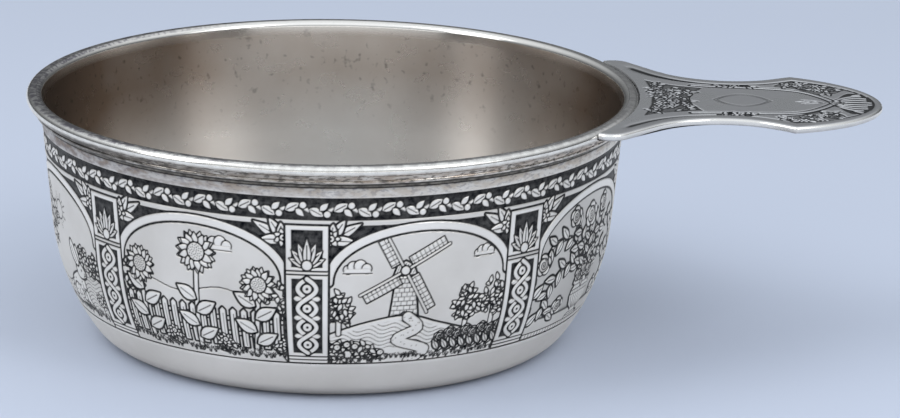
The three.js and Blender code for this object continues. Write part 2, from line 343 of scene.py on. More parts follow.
def plate(name, front, back, rings=(), **values):
    """A closed plate: a fine front grid, any rings of points round its sides, and a coarse back grid."""
    rows, columns = (n - 1 for n in front.shape[:2])
    skip = columns // (back.shape[1] - 1)

    def grid(high, wide, start, flip):
        r, c = (n.ravel() for n in np.meshgrid(np.arange(high), np.arange(wide), indexing="ij"))
        a = start + r * (wide + 1) + c
        quad = np.stack([a, a + 1, a + wide + 2, a + wide + 1], 1)
        return quad[:, ::-1] if flip else quad

    def around(high, wide, start):
        """The grid's outermost points in order, anticlockwise."""
        number = start + np.arange((high + 1) * (wide + 1)).reshape(high + 1, wide + 1)
        return np.concatenate([number[0, :-1], number[:-1, -1], number[-1, :0:-1], number[:0:-1, 0]])

    coarse_start = front.shape[0] * front.shape[1]
    points = [front.reshape(-1, 3), back.reshape(-1, 3), *rings]
    faces = grid(rows, columns, 0, False).tolist()
    faces += grid(rows // skip, columns // skip, coarse_start, True).tolist()
    loop = around(rows, columns, 0)
    start = coarse_start + back.shape[0] * back.shape[1]
    for ring in rings:
        lower = start + np.arange(len(ring))
        faces += np.stack([np.roll(loop, -1), loop, lower, np.roll(lower, -1)], 1).tolist()
        loop, start = lower, start + len(ring)
    coarse = around(rows // skip, columns // skip, coarse_start)
    for k, (c0, c1) in enumerate(zip(coarse, np.roll(coarse, -1))):
        fine = [loop[(k * skip + i) % len(loop)] for i in range(skip + 1)]
        half = skip // 2
        faces += [(fine[i + 1], fine[i], c0 if i < half else c1) for i in range(skip)]
        faces.append((fine[half], c0, c1))
    everything = np.concatenate(points)
    padded = {key: np.concatenate([n.ravel(), np.zeros(len(everything) - n.size)])
              for key, n in values.items()}
    mesh = new_mesh(name, everything, (), faces, **padded)
    smooth = np.arange(len(faces)) >= rows * columns
    mesh.attributes.new("sharp_face", "BOOLEAN", "FACE").data.foreach_set("value", smooth)
    return new_object(name, mesh)


# Relief: metal that stands high or is bitten away, and how dark it has gone

SOFT = 0.3
CUT_LINE = 0.36
COARSE = 8  # cells along a plate's front for each one along its back


class Relief:
    """What is worked into a surface, at each point of its plan in millimetres."""

    def __init__(self, u, v, land=1.0):
        self.u, self.v, self.land = u, v, land
        self.high = np.ones(len(u))
        self.dark = np.zeros(len(u))

    def near(self, points, margin):
        low, top = points.min(0) - margin, points.max(0) + margin
        inside = (self.u > low[0]) & (self.u < top[0]) & (self.v > low[1]) & (self.v < top[1])
        return np.nonzero(inside)[0]

    def distance(self, at, points, closed):
        """How far those places are from a line, below zero inside a closed one."""
        start = points if closed else points[:-1]
        end = np.roll(points, -1, 0) if closed else points[1:]
        best = np.full(len(at), 1e9)
        odd = np.zeros(len(at), bool)
        x, y = self.u[at], self.v[at]
        for (ax, ay), (bx, by) in zip(start, end):
            dx, dy = bx - ax, by - ay
            t = np.clip(((x - ax) * dx + (y - ay) * dy) / max(dx * dx + dy * dy, 1e-12), 0, 1)
            best = np.minimum(best, (x - ax - t * dx) ** 2 + (y - ay - t * dy) ** 2)
            if closed and dy:
                crosses = (ay > y) != (by > y)
                odd ^= crosses & (x < ax + (y - ay) * dx / dy)
        best = np.sqrt(best)
        return np.where(odd, -best, best) if closed else best

    def paint(self, at, cover, high, dark):
        self.high[at] += (high - self.high[at]) * cover
        self.dark[at] += (dark - self.dark[at]) * cover

    def shape(self, points, line=CUT_LINE, closed=True, width=0.0):
        """A raised shape, or a strap of a width along a line, with a dark cut line round it."""
        points = np.asarray(points, float)
        at = self.near(points, width / 2 + line + SOFT)
        away = self.distance(at, points, closed) - width / 2
        self.paint(at, np.clip(0.5 - (away - line) / SOFT, 0, 1), 0.0, 1.0)
        self.paint(at, np.clip(0.5 - away / SOFT, 0, 1), self.land, 0.0)

    def strap(self, points, width, line=CUT_LINE):
        self.shape(points, line, False, width)

    def cut(self, points, width=0.26, deep=0.75, closed=False, dark=0.95):
        """A dark cut line."""
        points = np.asarray(points, float)
        at = self.near(points, width / 2 + SOFT)
        away = np.abs(self.distance(at, points, closed)) - width / 2
        cover = np.clip(0.5 - away / SOFT, 0, 1)
        self.high[at] *= 1 - deep * cover
        self.dark[at] = np.maximum(self.dark[at], dark * cover)

    def ground(self, points, dark=0.5, edge_dark=1.0):
        """An etched ground, bitten all over and darkest along its edge."""
        points = np.asarray(points, float)
        at = self.near(points, SOFT)
        away = self.distance(at, points, True)
        cover = np.clip(0.5 - away / SOFT, 0, 1)
        edge = np.exp(-np.clip(-away, 0, None) / 0.3)
        self.paint(at, cover, 0.0, dark + (edge_dark - dark) * edge)

    def hatch(self, points, angle, pitch, width=0.2, wave=0.0):
        """Parallel cut lines inside a closed outline."""
        points = np.asarray(points, float)
        at = self.near(points, SOFT)
        inside = self.distance(at, points, True)
        across = self.v[at] * math.cos(angle) - self.u[at] * math.sin(angle)
        along = self.u[at] * math.cos(angle) + self.v[at] * math.sin(angle)
        across = across + wave * np.sin(along * 1.3)
        away = np.abs((across / pitch) % 1 - 0.5) * pitch
        cover = np.clip(0.5 - (inside + 0.15) / SOFT, 0, 1) * np.clip(0.5 + (width / 2 - away) / SOFT, 0, 1)
        self.high[at] *= 1 - 0.6 * cover
        self.dark[at] = np.maximum(self.dark[at], 0.9 * cover)

    def spot(self, x, y, radius, dark=0.95):
        self.cut([(x, y), (x + 0.01, y)], 2 * radius, dark=dark)


def placed(points, x, y, angle=0.0, scale=1.0, flip=False):
    points = np.asarray(points, float) * scale
    if flip:
        points = points * (-1, 1)
    c, s = math.cos(angle), math.sin(angle)
    return points @ np.array([[c, s], [-s, c]]) + (x, y)


def box(left, low, right, high):
    return [(left, low), (right, low), (right, high), (left, high)]


def smooth_line(points, closed=False, steps=5):
    """A soft line through a few points."""
    points = np.asarray(points, float)
    count = len(points)
    out = []
    for i in range(count if closed else count - 1):
        picks = [(i + k) % count if closed else min(max(i + k, 0), count - 1) for k in (-1, 0, 1, 2)]
        a, b, c, d = points[picks]
        for t in np.arange(steps) / steps:
            out.append(0.5 * (2 * b + (c - a) * t + (2 * a - 5 * b + 4 * c - d) * t * t
                              + (3 * b - a - 3 * c + d) * t ** 3))
    if not closed:
        out.append(points[-1])
    return np.array(out)


def circle(x, y, radius, steps=14, squash=1.0):
    return arc((x, y), radius, 0, 2 * math.pi, steps)[:-1] * (1, squash) + (0, y - y * squash)


def leaf(r, x, y, angle, long, width, rib=True, line=CUT_LINE):
    t = np.linspace(0, 1, 7)
    half = width / 2 * np.sin(math.pi * t ** 0.8)
    outline = np.concatenate([np.stack([t * long, half], 1), np.stack([t * long, -half], 1)[-2:0:-1]])
    r.shape(placed(outline, x, y, angle), line)
    if rib:
        r.cut(placed([(long * 0.12, 0), (long * 0.78, 0)], x, y, angle), 0.2, 0.5)


def daisy(r, x, y, radius, petals, heart=0.34):
    for k in range(petals):
        angle = 2 * math.pi * k / petals
        leaf(r, x + radius * 0.2 * math.cos(angle), y + radius * 0.2 * math.sin(angle), angle,
             radius * 0.8, radius * 3.6 / petals, False, 0.24)
    r.shape(circle(x, y, radius * heart), 0.26)
    r.spot(x, y, radius * heart * 0.35)


def sunflower(r, x, y, radius, rng):
    for row, petals in ((1.0, 15), (0.86, 13)):
        for k in range(petals):
            angle = 2 * math.pi * (k + 0.4 * rng.random()) / petals
            leaf(r, x + radius * 0.3 * math.cos(angle), y + radius * 0.3 * math.sin(angle), angle,
                 radius * 0.72 * row, radius * 0.34, False, 0.24)
    r.shape(circle(x, y, radius * 0.42, 20), 0.3)
    for k in range(34):
        angle, out = 2.4 * k, radius * 0.38 * math.sqrt((k + 0.5) / 34)
        r.spot(x + out * math.cos(angle), y + out * math.sin(angle), 0.11)


def rose(r, x, y, radius):
    for k in range(5):
        angle = 2 * math.pi * k / 5 + 0.3
        r.shape(circle(x + radius * 0.5 * math.cos(angle), y + radius * 0.5 * math.sin(angle),
                       radius * 0.5), 0.26)
    r.shape(circle(x, y, radius * 0.58, 16), 0.26)
    a = np.linspace(0.6, 2.2 * 2 * math.pi, 30)
    out = radius * 0.5 * a / a[-1]
    r.cut(np.stack([x + out * np.cos(a), y + out * np.sin(a)], 1), 0.24)


def foliage(r, rng, outline, count, size, berries=0):
    """Many small overlapping leaves that fill a closed outline."""
    outline = np.asarray(outline, float)
    low, top = outline.min(0), outline.max(0)
    probe = Relief(np.zeros(1), np.zeros(1))
    spots = []
    while len(spots) < count:
        x, y = rng.uniform(low[0], top[0]), rng.uniform(low[1], top[1])
        probe.u[0], probe.v[0] = x, y
        if probe.distance(np.array([0]), outline, True)[0] < -0.2 * size:
            spots.append((x, y))
    spots.sort(key=lambda spot: spot[1])
    for x, y in spots:
        leaf(r, x, y, rng.uniform(0, 2 * math.pi), size * rng.uniform(0.8, 1.15), size * 0.55, size > 1.5,
             0.24)
    for x, y in rng.sample(spots, berries):
        r.shape(circle(x, y, size * 0.42), 0.26)
        r.spot(x + size * 0.1, y + size * 0.1, 0.1)


def turf(r, rng, left, right, level, height):
    """Tufts of grass along a level."""
    x = left
    while x < right:
        y = level + rng.uniform(-0.5, 0.5)
        tall = height * rng.uniform(0.7, 1.2)
        for lean in np.linspace(-0.65, 0.65, 5):
            tip = tall * rng.uniform(0.7, 1.1)
            r.cut([(x + 0.2 * lean, y), (x + 0.45 * tip * lean, y + tip * 0.6), (x + tip * lean, y + tip)],
                  0.2, 0.5)
        x += rng.uniform(0.6, 1.2)


def hare(r, rng, x, y, size):
    """A hare that sits up, seen from the side."""
    def part(points):
        r.shape(placed(smooth_line(points, True), x, y, 0, size))

    def line(points, width=0.24):
        r.cut(placed(smooth_line(points), x, y, 0, size), width)

    part([(2.0, 8.2), (1.2, 9.8), (1.0, 11.9), (1.7, 12.9), (2.5, 11.6), (2.9, 9.6)])
    part([(-4.6, 1.0), (-5.4, 1.7), (-5.2, 2.7), (-4.2, 3.0), (-3.6, 2.0)])
    part([(-4.0, 0.3), (-4.4, 2.6), (-3.2, 5.2), (-0.8, 6.6), (1.2, 7.2), (3.0, 6.4), (3.2, 4.2),
          (3.0, 2.2), (3.6, 0.5), (2.0, 0.0), (-1.5, 0.0)])
    part([(2.4, 3.6), (3.3, 3.2), (3.4, 1.6), (4.2, 0.5), (3.6, 0.0), (2.4, 0.1), (2.2, 1.6)])
    part([(-3.9, 0.4), (-3.8, 2.8), (-2.2, 4.2), (-0.4, 3.8), (0.4, 2.2), (-0.2, 0.9), (1.2, 0.6),
          (1.0, 0.0), (-2.6, 0.0)])
    part([(1.0, 7.2), (0.9, 8.8), (2.0, 9.7), (3.4, 9.2), (4.6, 8.0), (4.8, 7.2), (4.0, 6.7), (2.6, 6.3),
          (1.5, 6.5)])
    part([(1.3, 8.9), (-0.2, 10.3), (-1.0, 12.4), (-0.7, 13.6), (0.5, 12.8), (1.7, 11.0), (2.3, 9.4)])
    line([(-0.3, 12.4), (0.5, 11.0), (1.4, 9.6)])
    line([(4.7, 7.3), (4.2, 7.2), (3.9, 6.9)])
    line([(4.2, 7.6), (5.6, 8.0)], 0.16)
    line([(4.2, 7.4), (5.7, 7.2)], 0.16)
    line([(0.9, 2.4), (1.6, 3.4), (1.8, 4.8)])
    r.spot(x + 3.1 * size, y + 8.1 * size, 0.26)
    for _ in range(34):
        px, py = rng.uniform(-3.4, 2.6), rng.uniform(1.0, 5.6)
        line([(px, py), (px - 0.55, py - 0.35)], 0.17)


def fence(r, left, right, level, height, pitch):
    for rail in (0.3, 0.68):
        r.strap([(left, level + height * rail), (right, level + height * rail)], 0.7, 0.24)
    for x in np.arange(left, right, pitch):
        half, foot, top = pitch / 4, level - 0.5, level - 0.5 + height
        r.shape([(x - half, foot), (x + half, foot), (x + half, top - half), (x, top),
                 (x - half, top - half)])
        r.cut([(x + 0.1, foot + 0.4), (x + 0.1, top - 1.2)], 0.16, 0.4)


def cloud(r, x, y, size):
    for px, py, radius in ((-2.2, 0, 0.9), (-1.0, 0.6, 1.2), (0.5, 0.8, 1.3), (1.9, 0.2, 1.0)):
        r.shape(circle(x + px * size, y + py * size, radius * size), 0.22)
    r.shape(placed([(-3.2, -0.9), (3.0, -0.9), (2.6, 0.1), (-2.8, 0.1)], x, y, 0, size), 0.0)
    r.cut(placed([(-3.3, -0.9), (3.1, -0.9)], x, y, 0, size), 0.2)


def sun(r, x, y, radius):
    for k in range(16):
        c, s = math.cos(math.pi * k / 8), math.sin(math.pi * k / 8)
        far = radius * (1.9 if k % 2 else 1.55)
        r.cut([(x + radius * 1.25 * c, y + radius * 1.25 * s), (x + far * c, y + far * s)], 0.22)
    r.cut(circle(x, y, radius, 20), 0.28, closed=True)


def windmill(r, x, y, size):
    """A stone mill with four lattice sails."""
    def at(points):
        return placed(points, x, y, 0, size)

    r.shape(at([(-2.6, 0), (2.6, 0), (1.5, 9), (-1.5, 9)]))
    for row in range(11):
        level = 0.5 + row * 0.78
        reach = 2.45 - level * 0.125
        r.cut(at([(-reach, level), (reach, level)]), 0.16, 0.4)
        for k in range(4):
            across = -reach + (k + 0.5 * (row % 2) + 0.3) * reach * 0.52
            r.cut(at([(across, level), (across, level + 0.78)]), 0.14, 0.4)
    r.shape(at([(-0.6, 0), (0.6, 0), (0.6, 1.7), (0, 2.3), (-0.6, 1.7)]))
    r.ground(at([(-0.35, 0.1), (0.35, 0.1), (0.35, 1.6), (0, 2.0), (-0.35, 1.6)]), 0.85)
    cap = at([(-1.9, 9), (1.9, 9), (1.3, 10.6), (0, 11.3), (-1.3, 10.6)])
    r.shape(cap)
    r.hatch(cap, 1.2, 0.5, 0.16)
    hub = (x, y + 9.7 * size)
    for angle in math.radians(28) + np.arange(4) * math.pi / 2:
        def sail(points):
            return placed(points, *hub, angle, size)
        r.shape(sail(box(1.6, 0, 8.2, 1.7)), 0.24)
        for bar in 1.9 + 0.8 * np.arange(8):
            r.cut(sail([(bar, 0.1), (bar, 1.7)]), 0.16, 0.5)
        r.cut(sail([(1.7, 0.85), (8.1, 0.85)]), 0.14, 0.5)
        r.strap(sail([(0, 0), (8.6, 0)]), 0.4, 0.2)
    r.shape(circle(*hub, 0.7 * size), 0.26)


def urn(r, x, y, size):
    right = [(0, 0), (2.4, 0), (2.5, 0.7), (1.2, 1.2), (1.0, 1.9), (2.8, 3.2), (3.6, 5.0), (3.4, 6.2),
             (2.7, 7.0), (3.5, 7.5), (3.4, 8.1), (0, 8.1)]
    left = [(-px, py) for px, py in right[-2:0:-1]]
    r.shape(placed(right + left, x, y, 0, size))
    for k in range(-3, 4):
        r.cut(placed(smooth_line([(0.3 * k, 2.1), (0.78 * k, 3.6), (0.98 * k, 4.9)]), x, y, 0, size), 0.22)
    for level, reach in ((5.3, 3.5), (6.1, 3.3), (7.0, 2.6), (1.2, 1.1), (0.7, 2.4)):
        r.cut(placed([(-reach, level), (reach, level)], x, y, 0, size), 0.22)
    for k in range(-4, 5):
        r.spot(x + 0.72 * k * size, y + 5.7 * size, 0.14)


def spray(r, rng, points, leaves, size, radius):
    """A stem with leaves on both sides and a rose at its end."""
    line = smooth_line(points, steps=8)
    r.strap(line, 0.5, 0.22)
    run = run_along(line)[-1]
    for k in range(leaves):
        here, ahead = at_run(line, run * (0.12 + 0.82 * k / leaves) + np.array([0, 0.3]))
        heading = math.atan2(ahead[1] - here[1], ahead[0] - here[0])
        side = 1 if k % 2 else -1
        leaf(r, *here, heading + side * rng.uniform(0.7, 1.0), size * rng.uniform(0.85, 1.1), size * 0.48)
    rose(r, *line[-1], radius)


def fruit_tree(r, rng, x, y, trunk, crown, leaves, size, fruit):
    """A trunk with bark and two limbs under a crown of leaves and fruit."""
    top = y + trunk
    r.shape(smooth_line([(x - 1.5, y), (x - 0.8, y + trunk * 0.4), (x - 1.0, top), (x + 1.1, top),
                         (x + 0.9, y + trunk * 0.4), (x + 1.8, y)]))
    for px in x - 0.6 + 0.35 * np.arange(5):
        r.cut([(px, y + 0.6), (px + 0.1, top - 0.8)], 0.18, 0.5)
    for side in (-1, 1):
        r.strap(smooth_line([(x, top - 0.5), (x + side * 1.2, top + 1.2), (x + side * 2.8, top + 2.6)]), 0.8)
    foliage(r, rng, crown, leaves, size, fruit)


# Pictures of the band: each is 40 mm wide, stands on a level near 1.5 mm and reaches up to 28 mm

def orchard(r, rng):
    hill = smooth_line([(-21, 6), (-14, 9.5), (-7, 7.5), (0, 6), (7, 9), (14, 11), (21, 8)])
    r.cut(hill, 0.28)
    r.hatch(np.concatenate([hill, [(21, 3), (-21, 3)]]), 0.1, 0.8, 0.17, 0.35)
    foliage(r, rng, circle(11, 13.4, 3.0, 12), 40, 1.1)
    foliage(r, rng, circle(16, 12.4, 2.6, 12), 34, 1.1)
    sun(r, 1.5, 20.5, 1.9)
    crown = smooth_line([(-18, 13), (-19, 18), (-14, 23), (-7, 25), (-1.5, 21.5), (-1, 16), (-5, 12.2),
                         (-11, 11.4)], True)
    fruit_tree(r, rng, -9.5, 2.4, 9.5, crown, 210, 1.75, 13)
    for px, py in ((-15.5, 3.4), (-12.8, 2.7), (-5.5, 2.6)):
        r.shape(circle(px, py, 0.8), 0.26)
    hare(r, rng, 7.2, 2.6, 0.98)
    turf(r, rng, -20, 20, 1.4, 1.7)
    for px in (-17.5, 15.8, 18.2):
        r.cut([(px, 1.5), (px + 0.2, 5.0)], 0.24)
        daisy(r, px + 0.2, 5.6, 1.5, 8)


def garden(r, rng):
    r.cut(smooth_line([(-21, 13), (-12, 15), (-4, 13.5), (5, 15.2), (13, 13.4), (21, 15)]), 0.24)
    cloud(r, 5.0, 23.2, 0.9)
    foliage(r, rng, smooth_line([(-21, 10), (-21, 17), (-17, 18.5), (-13, 15), (-12, 11)], True), 60, 1.3)
    foliage(r, rng, smooth_line([(21, 10), (21, 16), (18, 17.5), (14.5, 15), (13.5, 11)], True), 50, 1.3)
    fence(r, -20.5, 20.6, 3.6, 8.2, 2.15)
    for x, top, lean, radius in ((-12.0, 17.0, -1.0, 3.5), (-0.5, 21.5, 0.8, 4.0), (11.5, 16.4, 1.2, 3.4)):
        r.strap(smooth_line([(x, 1.5), (x + 0.6 * lean, top * 0.5), (x + lean, top)]), 0.75, 0.26)
        for k, level in enumerate((4.2, 6.8, 9.6, 12.2)):
            if level < top - radius - 0.5:
                leaf(r, x + 0.4 * lean, level, math.pi / 2 + (1.05 if k % 2 else -1.05), 4.6, 2.5)
        sunflower(r, x + lean, top, radius, rng)
    for px in (-18, -6.5, 5.2, 17.5):
        foliage(r, rng, circle(px, 3.2, 2.3, 10, 0.8), 24, 1.2)
        daisy(r, px, 4.4, 1.35, 7)
    turf(r, rng, -20, 20, 1.2, 1.4)


def mill(r, rng):
    hill = smooth_line([(-21, 5.5), (-12, 9.0), (-3, 10.5), (4, 8.4), (12, 6.2), (21, 7.4)])
    cloud(r, -12.5, 20.0, 0.85)
    cloud(r, 12.5, 21.5, 0.7)
    windmill(r, -3.5, 8.6, 1.12)
    r.shape(np.concatenate([hill, [(21, 0), (-21, 0)]]))
    r.hatch(np.concatenate([hill - (0, 0.6), [(21, 3.5), (-21, 3.5)]]), -0.12, 0.85, 0.17, 0.4)
    path = smooth_line([(-2.6, 10.2), (-0.5, 7.8), (-4.5, 5.4), (1.5, 2.8), (-1.5, 0.4)])
    r.strap(path, 2.0, 0.24)
    for px, py in rng.choices(path.tolist(), k=26):
        r.spot(px + rng.uniform(-0.8, 0.8), py, 0.1)
    for px, py, w in ((9.5, 11.0, 3.2), (15.5, 11.5, 3.6), (-16, 11.6, 3.0)):
        r.strap([(px, py - w - 1.5), (px, py)], 0.8, 0.24)
        crown = placed([(-0.7, -0.6), (-0.8, 0.5), (0, 1.35), (0.8, 0.5), (0.7, -0.6)], px, py, 0, w)
        foliage(r, rng, smooth_line(crown, True), 62, 1.25)
    for k in range(9):
        px, top = 4.5 + 1.9 * k, 4.6 + 0.7 * (k % 2)
        sway = 0.2 * math.sin(k)
        r.strap([(px, 1.0), (px + sway, top)], 0.4, 0.2)
        leaf(r, px, 2.0, 1.0, 2.6, 1.0)
        leaf(r, px, 2.4, 2.1, 2.6, 1.0)
        rose(r, px + sway, top + 0.8, 1.15)
    foliage(r, rng, smooth_line([(-20.5, 1), (-20, 4.6), (-14, 5.4), (-8, 3.6), (-7, 1)], True), 95, 1.35, 9)
    turf(r, rng, -20, 20, 0.8, 1.2)


def rose_urn(r, rng):
    r.ground(smooth_line([(-20, 6), (-20, 20), (-12, 26), (0, 28), (12, 26), (20, 20), (20, 6), (0, 4)],
                         True), 0.35)
    for side in (-1, 1):
        for k in range(5):
            leaf(r, side * 17.8, 3.5 + 3.0 * k, math.pi / 2 + (0.8 if k % 2 else -0.8), 3.4, 1.7)
        stems = (([(1.0, 9.5), (5.0, 14), (10.5, 13.5), (14.5, 8.5), (12.2, 4.8), (8.6, 6.0)], 13, 3.0, 1.9),
                 ([(0.8, 9.5), (5.5, 18.5), (12.5, 19.5), (16.0, 16.0)], 10, 3.0, 2.1),
                 ([(0.4, 9.5), (2.6, 18.0), (6.5, 23.5)], 7, 2.8, 2.0))
        for points, leaves, size, radius in stems:
            spray(r, rng, [(side * px, py) for px, py in points], leaves, size, radius)
    spray(r, rng, [(0, 9.5), (0.3, 16), (0, 22.5)], 8, 2.6, 2.5)
    urn(r, 0, 1.2, 1.1)
    foliage(r, rng, circle(0, 11.4, 3.4, 12, 0.55), 26, 1.6)
    for px in (-2.4, 0, 2.4):
        rose(r, px, 11.2 + 0.5 * (px == 0), 1.5)
    r.shape(box(-20, 0.2, 20, 1.2), 0.24)
    for px in np.arange(-19.5, 20):
        r.cut([(px, 0.3), (px, 1.1)], 0.16, 0.5)


PICTURES = (orchard, garden, mill, rose_urn)
PICTURE_FOOT = 0.2
ARCH_SPRING = 17.5
ARCH_CROWN = 27.8
COLUMN_HALF = 3.9
PANEL_HALF = 2.9
GARLAND = (29.4, 33.4)
BAND_MARGIN = 0.35
EDGE_GAP = 0.02
BACK_GAP = 0.03
HAZE = 0.2
BLACKENED = 0.68


def guilloche(r, x, low, high, loops):
    """Two straps that cross and part again up a panel, with a flower in each eye."""
    v = np.linspace(low, high, 12 * loops + 1)
    sway = 1.75 * np.sin(math.pi * (v - low) * loops / (high - low))
    for side in (1, -1):
        r.strap(np.stack([x + side * sway, v], 1), 0.8, 0.3)
    pitch = (high - low) / loops
    for k in range(loops):
        middle = low + (k + 0.5) * pitch
        r.shape(circle(x, middle, 0.85), 0.24)
        r.spot(x, middle, 0.26)
        for side in (1, -1):
            if k:
                leaf(r, x + side * 2.5, middle - pitch / 2, math.pi * (side < 0), -1.6, 0.9, False, 0.0)


def arch_and_columns(r, half):
    """The arch over a picture with its etched corners, and half a column at each side."""
    a = np.linspace(0, math.pi, 30)
    arch = np.stack([(half - 4.0) * np.cos(a), ARCH_SPRING + (ARCH_CROWN - ARCH_SPRING) * np.sin(a)], 1)
    for side in (-1, 1):
        corner = [(0, ARCH_CROWN + 0.6), (side * half, ARCH_CROWN + 0.6), (side * half, ARCH_SPRING)]
        r.ground([(side * x, y) for x, y in arch[:16]] + corner, BLACKENED)
        for long, angle in ((6.4, 2.62), (4.8, 2.15), (4.6, 3.2), (3.2, 1.7)):
            leaf(r, side * (half - 4.4), ARCH_CROWN - 2.2, angle if side > 0 else math.pi - angle, long, 1.8)
        daisy(r, side * (half - 4.4), ARCH_CROWN - 1.9, 1.7, 7)
    r.strap(arch, 1.5, 0.36)
    foot, spring, top = PICTURE_FOOT, ARCH_SPRING, ARCH_CROWN + 0.5
    for x in (-half, half):
        r.shape(box(x - COLUMN_HALF, foot, x + COLUMN_HALF, top), 0.4)
        r.ground(box(x - PANEL_HALF, foot + 2.4, x + PANEL_HALF, spring + 0.6), BLACKENED)
        guilloche(r, x, foot + 2.4, spring + 0.6, 4)
        for level in (foot + 0.8, foot + 1.6, spring + 1.4, spring + 2.1):
            r.cut([(x - COLUMN_HALF, level), (x + COLUMN_HALF, level)], 0.3)
        r.ground(box(x - PANEL_HALF, spring + 2.8, x + PANEL_HALF, top - 0.8), BLACKENED)
        for lean in (-1.15, 1.15, -0.75, 0.75, -0.36, 0.36, 0.0):
            leaf(r, x, spring + 3.0, math.pi / 2 + lean, 5.2 - 1.4 * abs(lean), 1.35, True, 0.24)
        r.shape(circle(x, spring + 3.2, 0.9), 0.26)


def garland(r, half):
    """A strip of running leaves and berries on a dark ground."""
    low, high = GARLAND
    r.ground(box(-half - 1, low, half + 1, high), BLACKENED)
    middle, count = (low + high) / 2, 10
    pitch = 2 * half / count
    u = np.linspace(-half - 1, half + 1, 160)
    r.strap(np.stack([u, middle + 0.75 * np.sin(math.pi * u / pitch)], 1), 0.5, 0.0)
    for k in range(-1, count + 1):
        x, up = (k + 0.5) * pitch - half, 1 if k % 2 else -1
        leaf(r, x - 1.7, middle - up * 0.2, up * 0.5, 3.0, 1.6, True, 0.2)
        leaf(r, x + 0.2, middle + up * 0.1, -up * 0.75, 2.0, 1.1, False, 0.2)
        r.shape(circle(x + 1.5, middle + up * 0.85, 0.6), 0.2)


def etched_bay(picture, u, v, half, top, seed):
    """The relief of one bay: its picture, what frames it, and the band's two border lines. The whole
    is drawn at the scale that fits the garland under the band's upper line."""
    scale = (top - BAND_MARGIN) / GARLAND[1]
    half = half / scale
    r = Relief(u / scale, v / scale)
    r.dark[:] = HAZE
    picture(r, random.Random(seed))
    arch_and_columns(r, half)
    garland(r, half)
    r.cut([(-half - 1, top / scale - 0.14), (half + 1, top / scale - 0.14)], 0.3)
    r.cut([(-half - 1, 0.1), (half + 1, 0.1)], 0.34)
    return r


# Finishes

def metres(size):
    """Scale of a noise whose features are about this many millimetres across."""
    return 1 / (size * MM)


def new_material(name):
    """A material with no nodes yet but the place on the piece, in metres."""
    material = bpy.data.materials.new(name)
    material.use_nodes = True
    nodes = material.node_tree
    nodes.nodes.clear()
    return material, nodes, add(nodes, "ShaderNodeTexCoord").outputs["Object"]


def surfaced(nodes, **inputs):
    """Ends a material with its surface."""
    shader = add(nodes, "ShaderNodeBsdfPrincipled", {key.replace("_", " "): v for key, v in inputs.items()})
    add(nodes, "ShaderNodeOutputMaterial", {"Surface": shader})


def coated(nodes, tone, *coats):
    """A colour under further coats: each has its colour, and shares whose product is how much it covers."""
    for coat, cover, *shares in coats:
        for share in shares:
            cover = add(nodes, "ShaderNodeMath", {0: cover, 1: share}, operation="MULTIPLY")
        tone = add(nodes, "ShaderNodeMix", {0: cover, 6: tone, 7: coat}, data_type="RGBA").outputs[2]
    return tone


def blotches(nodes, place, size, low, high, detail=3.0, stretch=(1, 1, 1), to=(0, 1)):
    """Cloudy patches of about a size. They go from one value, below a level of the noise, to another
    value above a higher level."""
    mapped = add(nodes, "ShaderNodeMapping", {"Vector": place, "Scale": stretch})
    noise = add(nodes, "ShaderNodeTexNoise", {"Vector": mapped, "Scale": metres(size), "Detail": detail})
    return add(nodes, "ShaderNodeMapRange", {"Value": noise, "From Min": low, "From Max": high,
                                             "To Min": to[0], "To Max": to[1]})


def ramp(nodes, place, start, end, axis="Z", to=(0, 1)):
    """Goes from one value to another between two places along an axis, in millimetres."""
    along = add(nodes, "ShaderNodeSeparateXYZ", {0: place}).outputs[axis]
    return add(nodes, "ShaderNodeMapRange", {"Value": along, "From Min": start * MM, "From Max": end * MM,
                                             "To Min": to[0], "To Max": to[1]})


def worked(nodes, name):
    """A number that the relief has left at each point of the mesh."""
    return add(nodes, "ShaderNodeAttribute", attribute_name=name).outputs["Fac"]


def crisp_oxide_and_shade(nodes):
    """How dark a place has gone, with crisp edges between the mesh's points."""
    return add(nodes, "ShaderNodeMapRange", {"Value": worked(nodes, "oxide"), "From Min": 0.3,
                                             "From Max": 0.7})


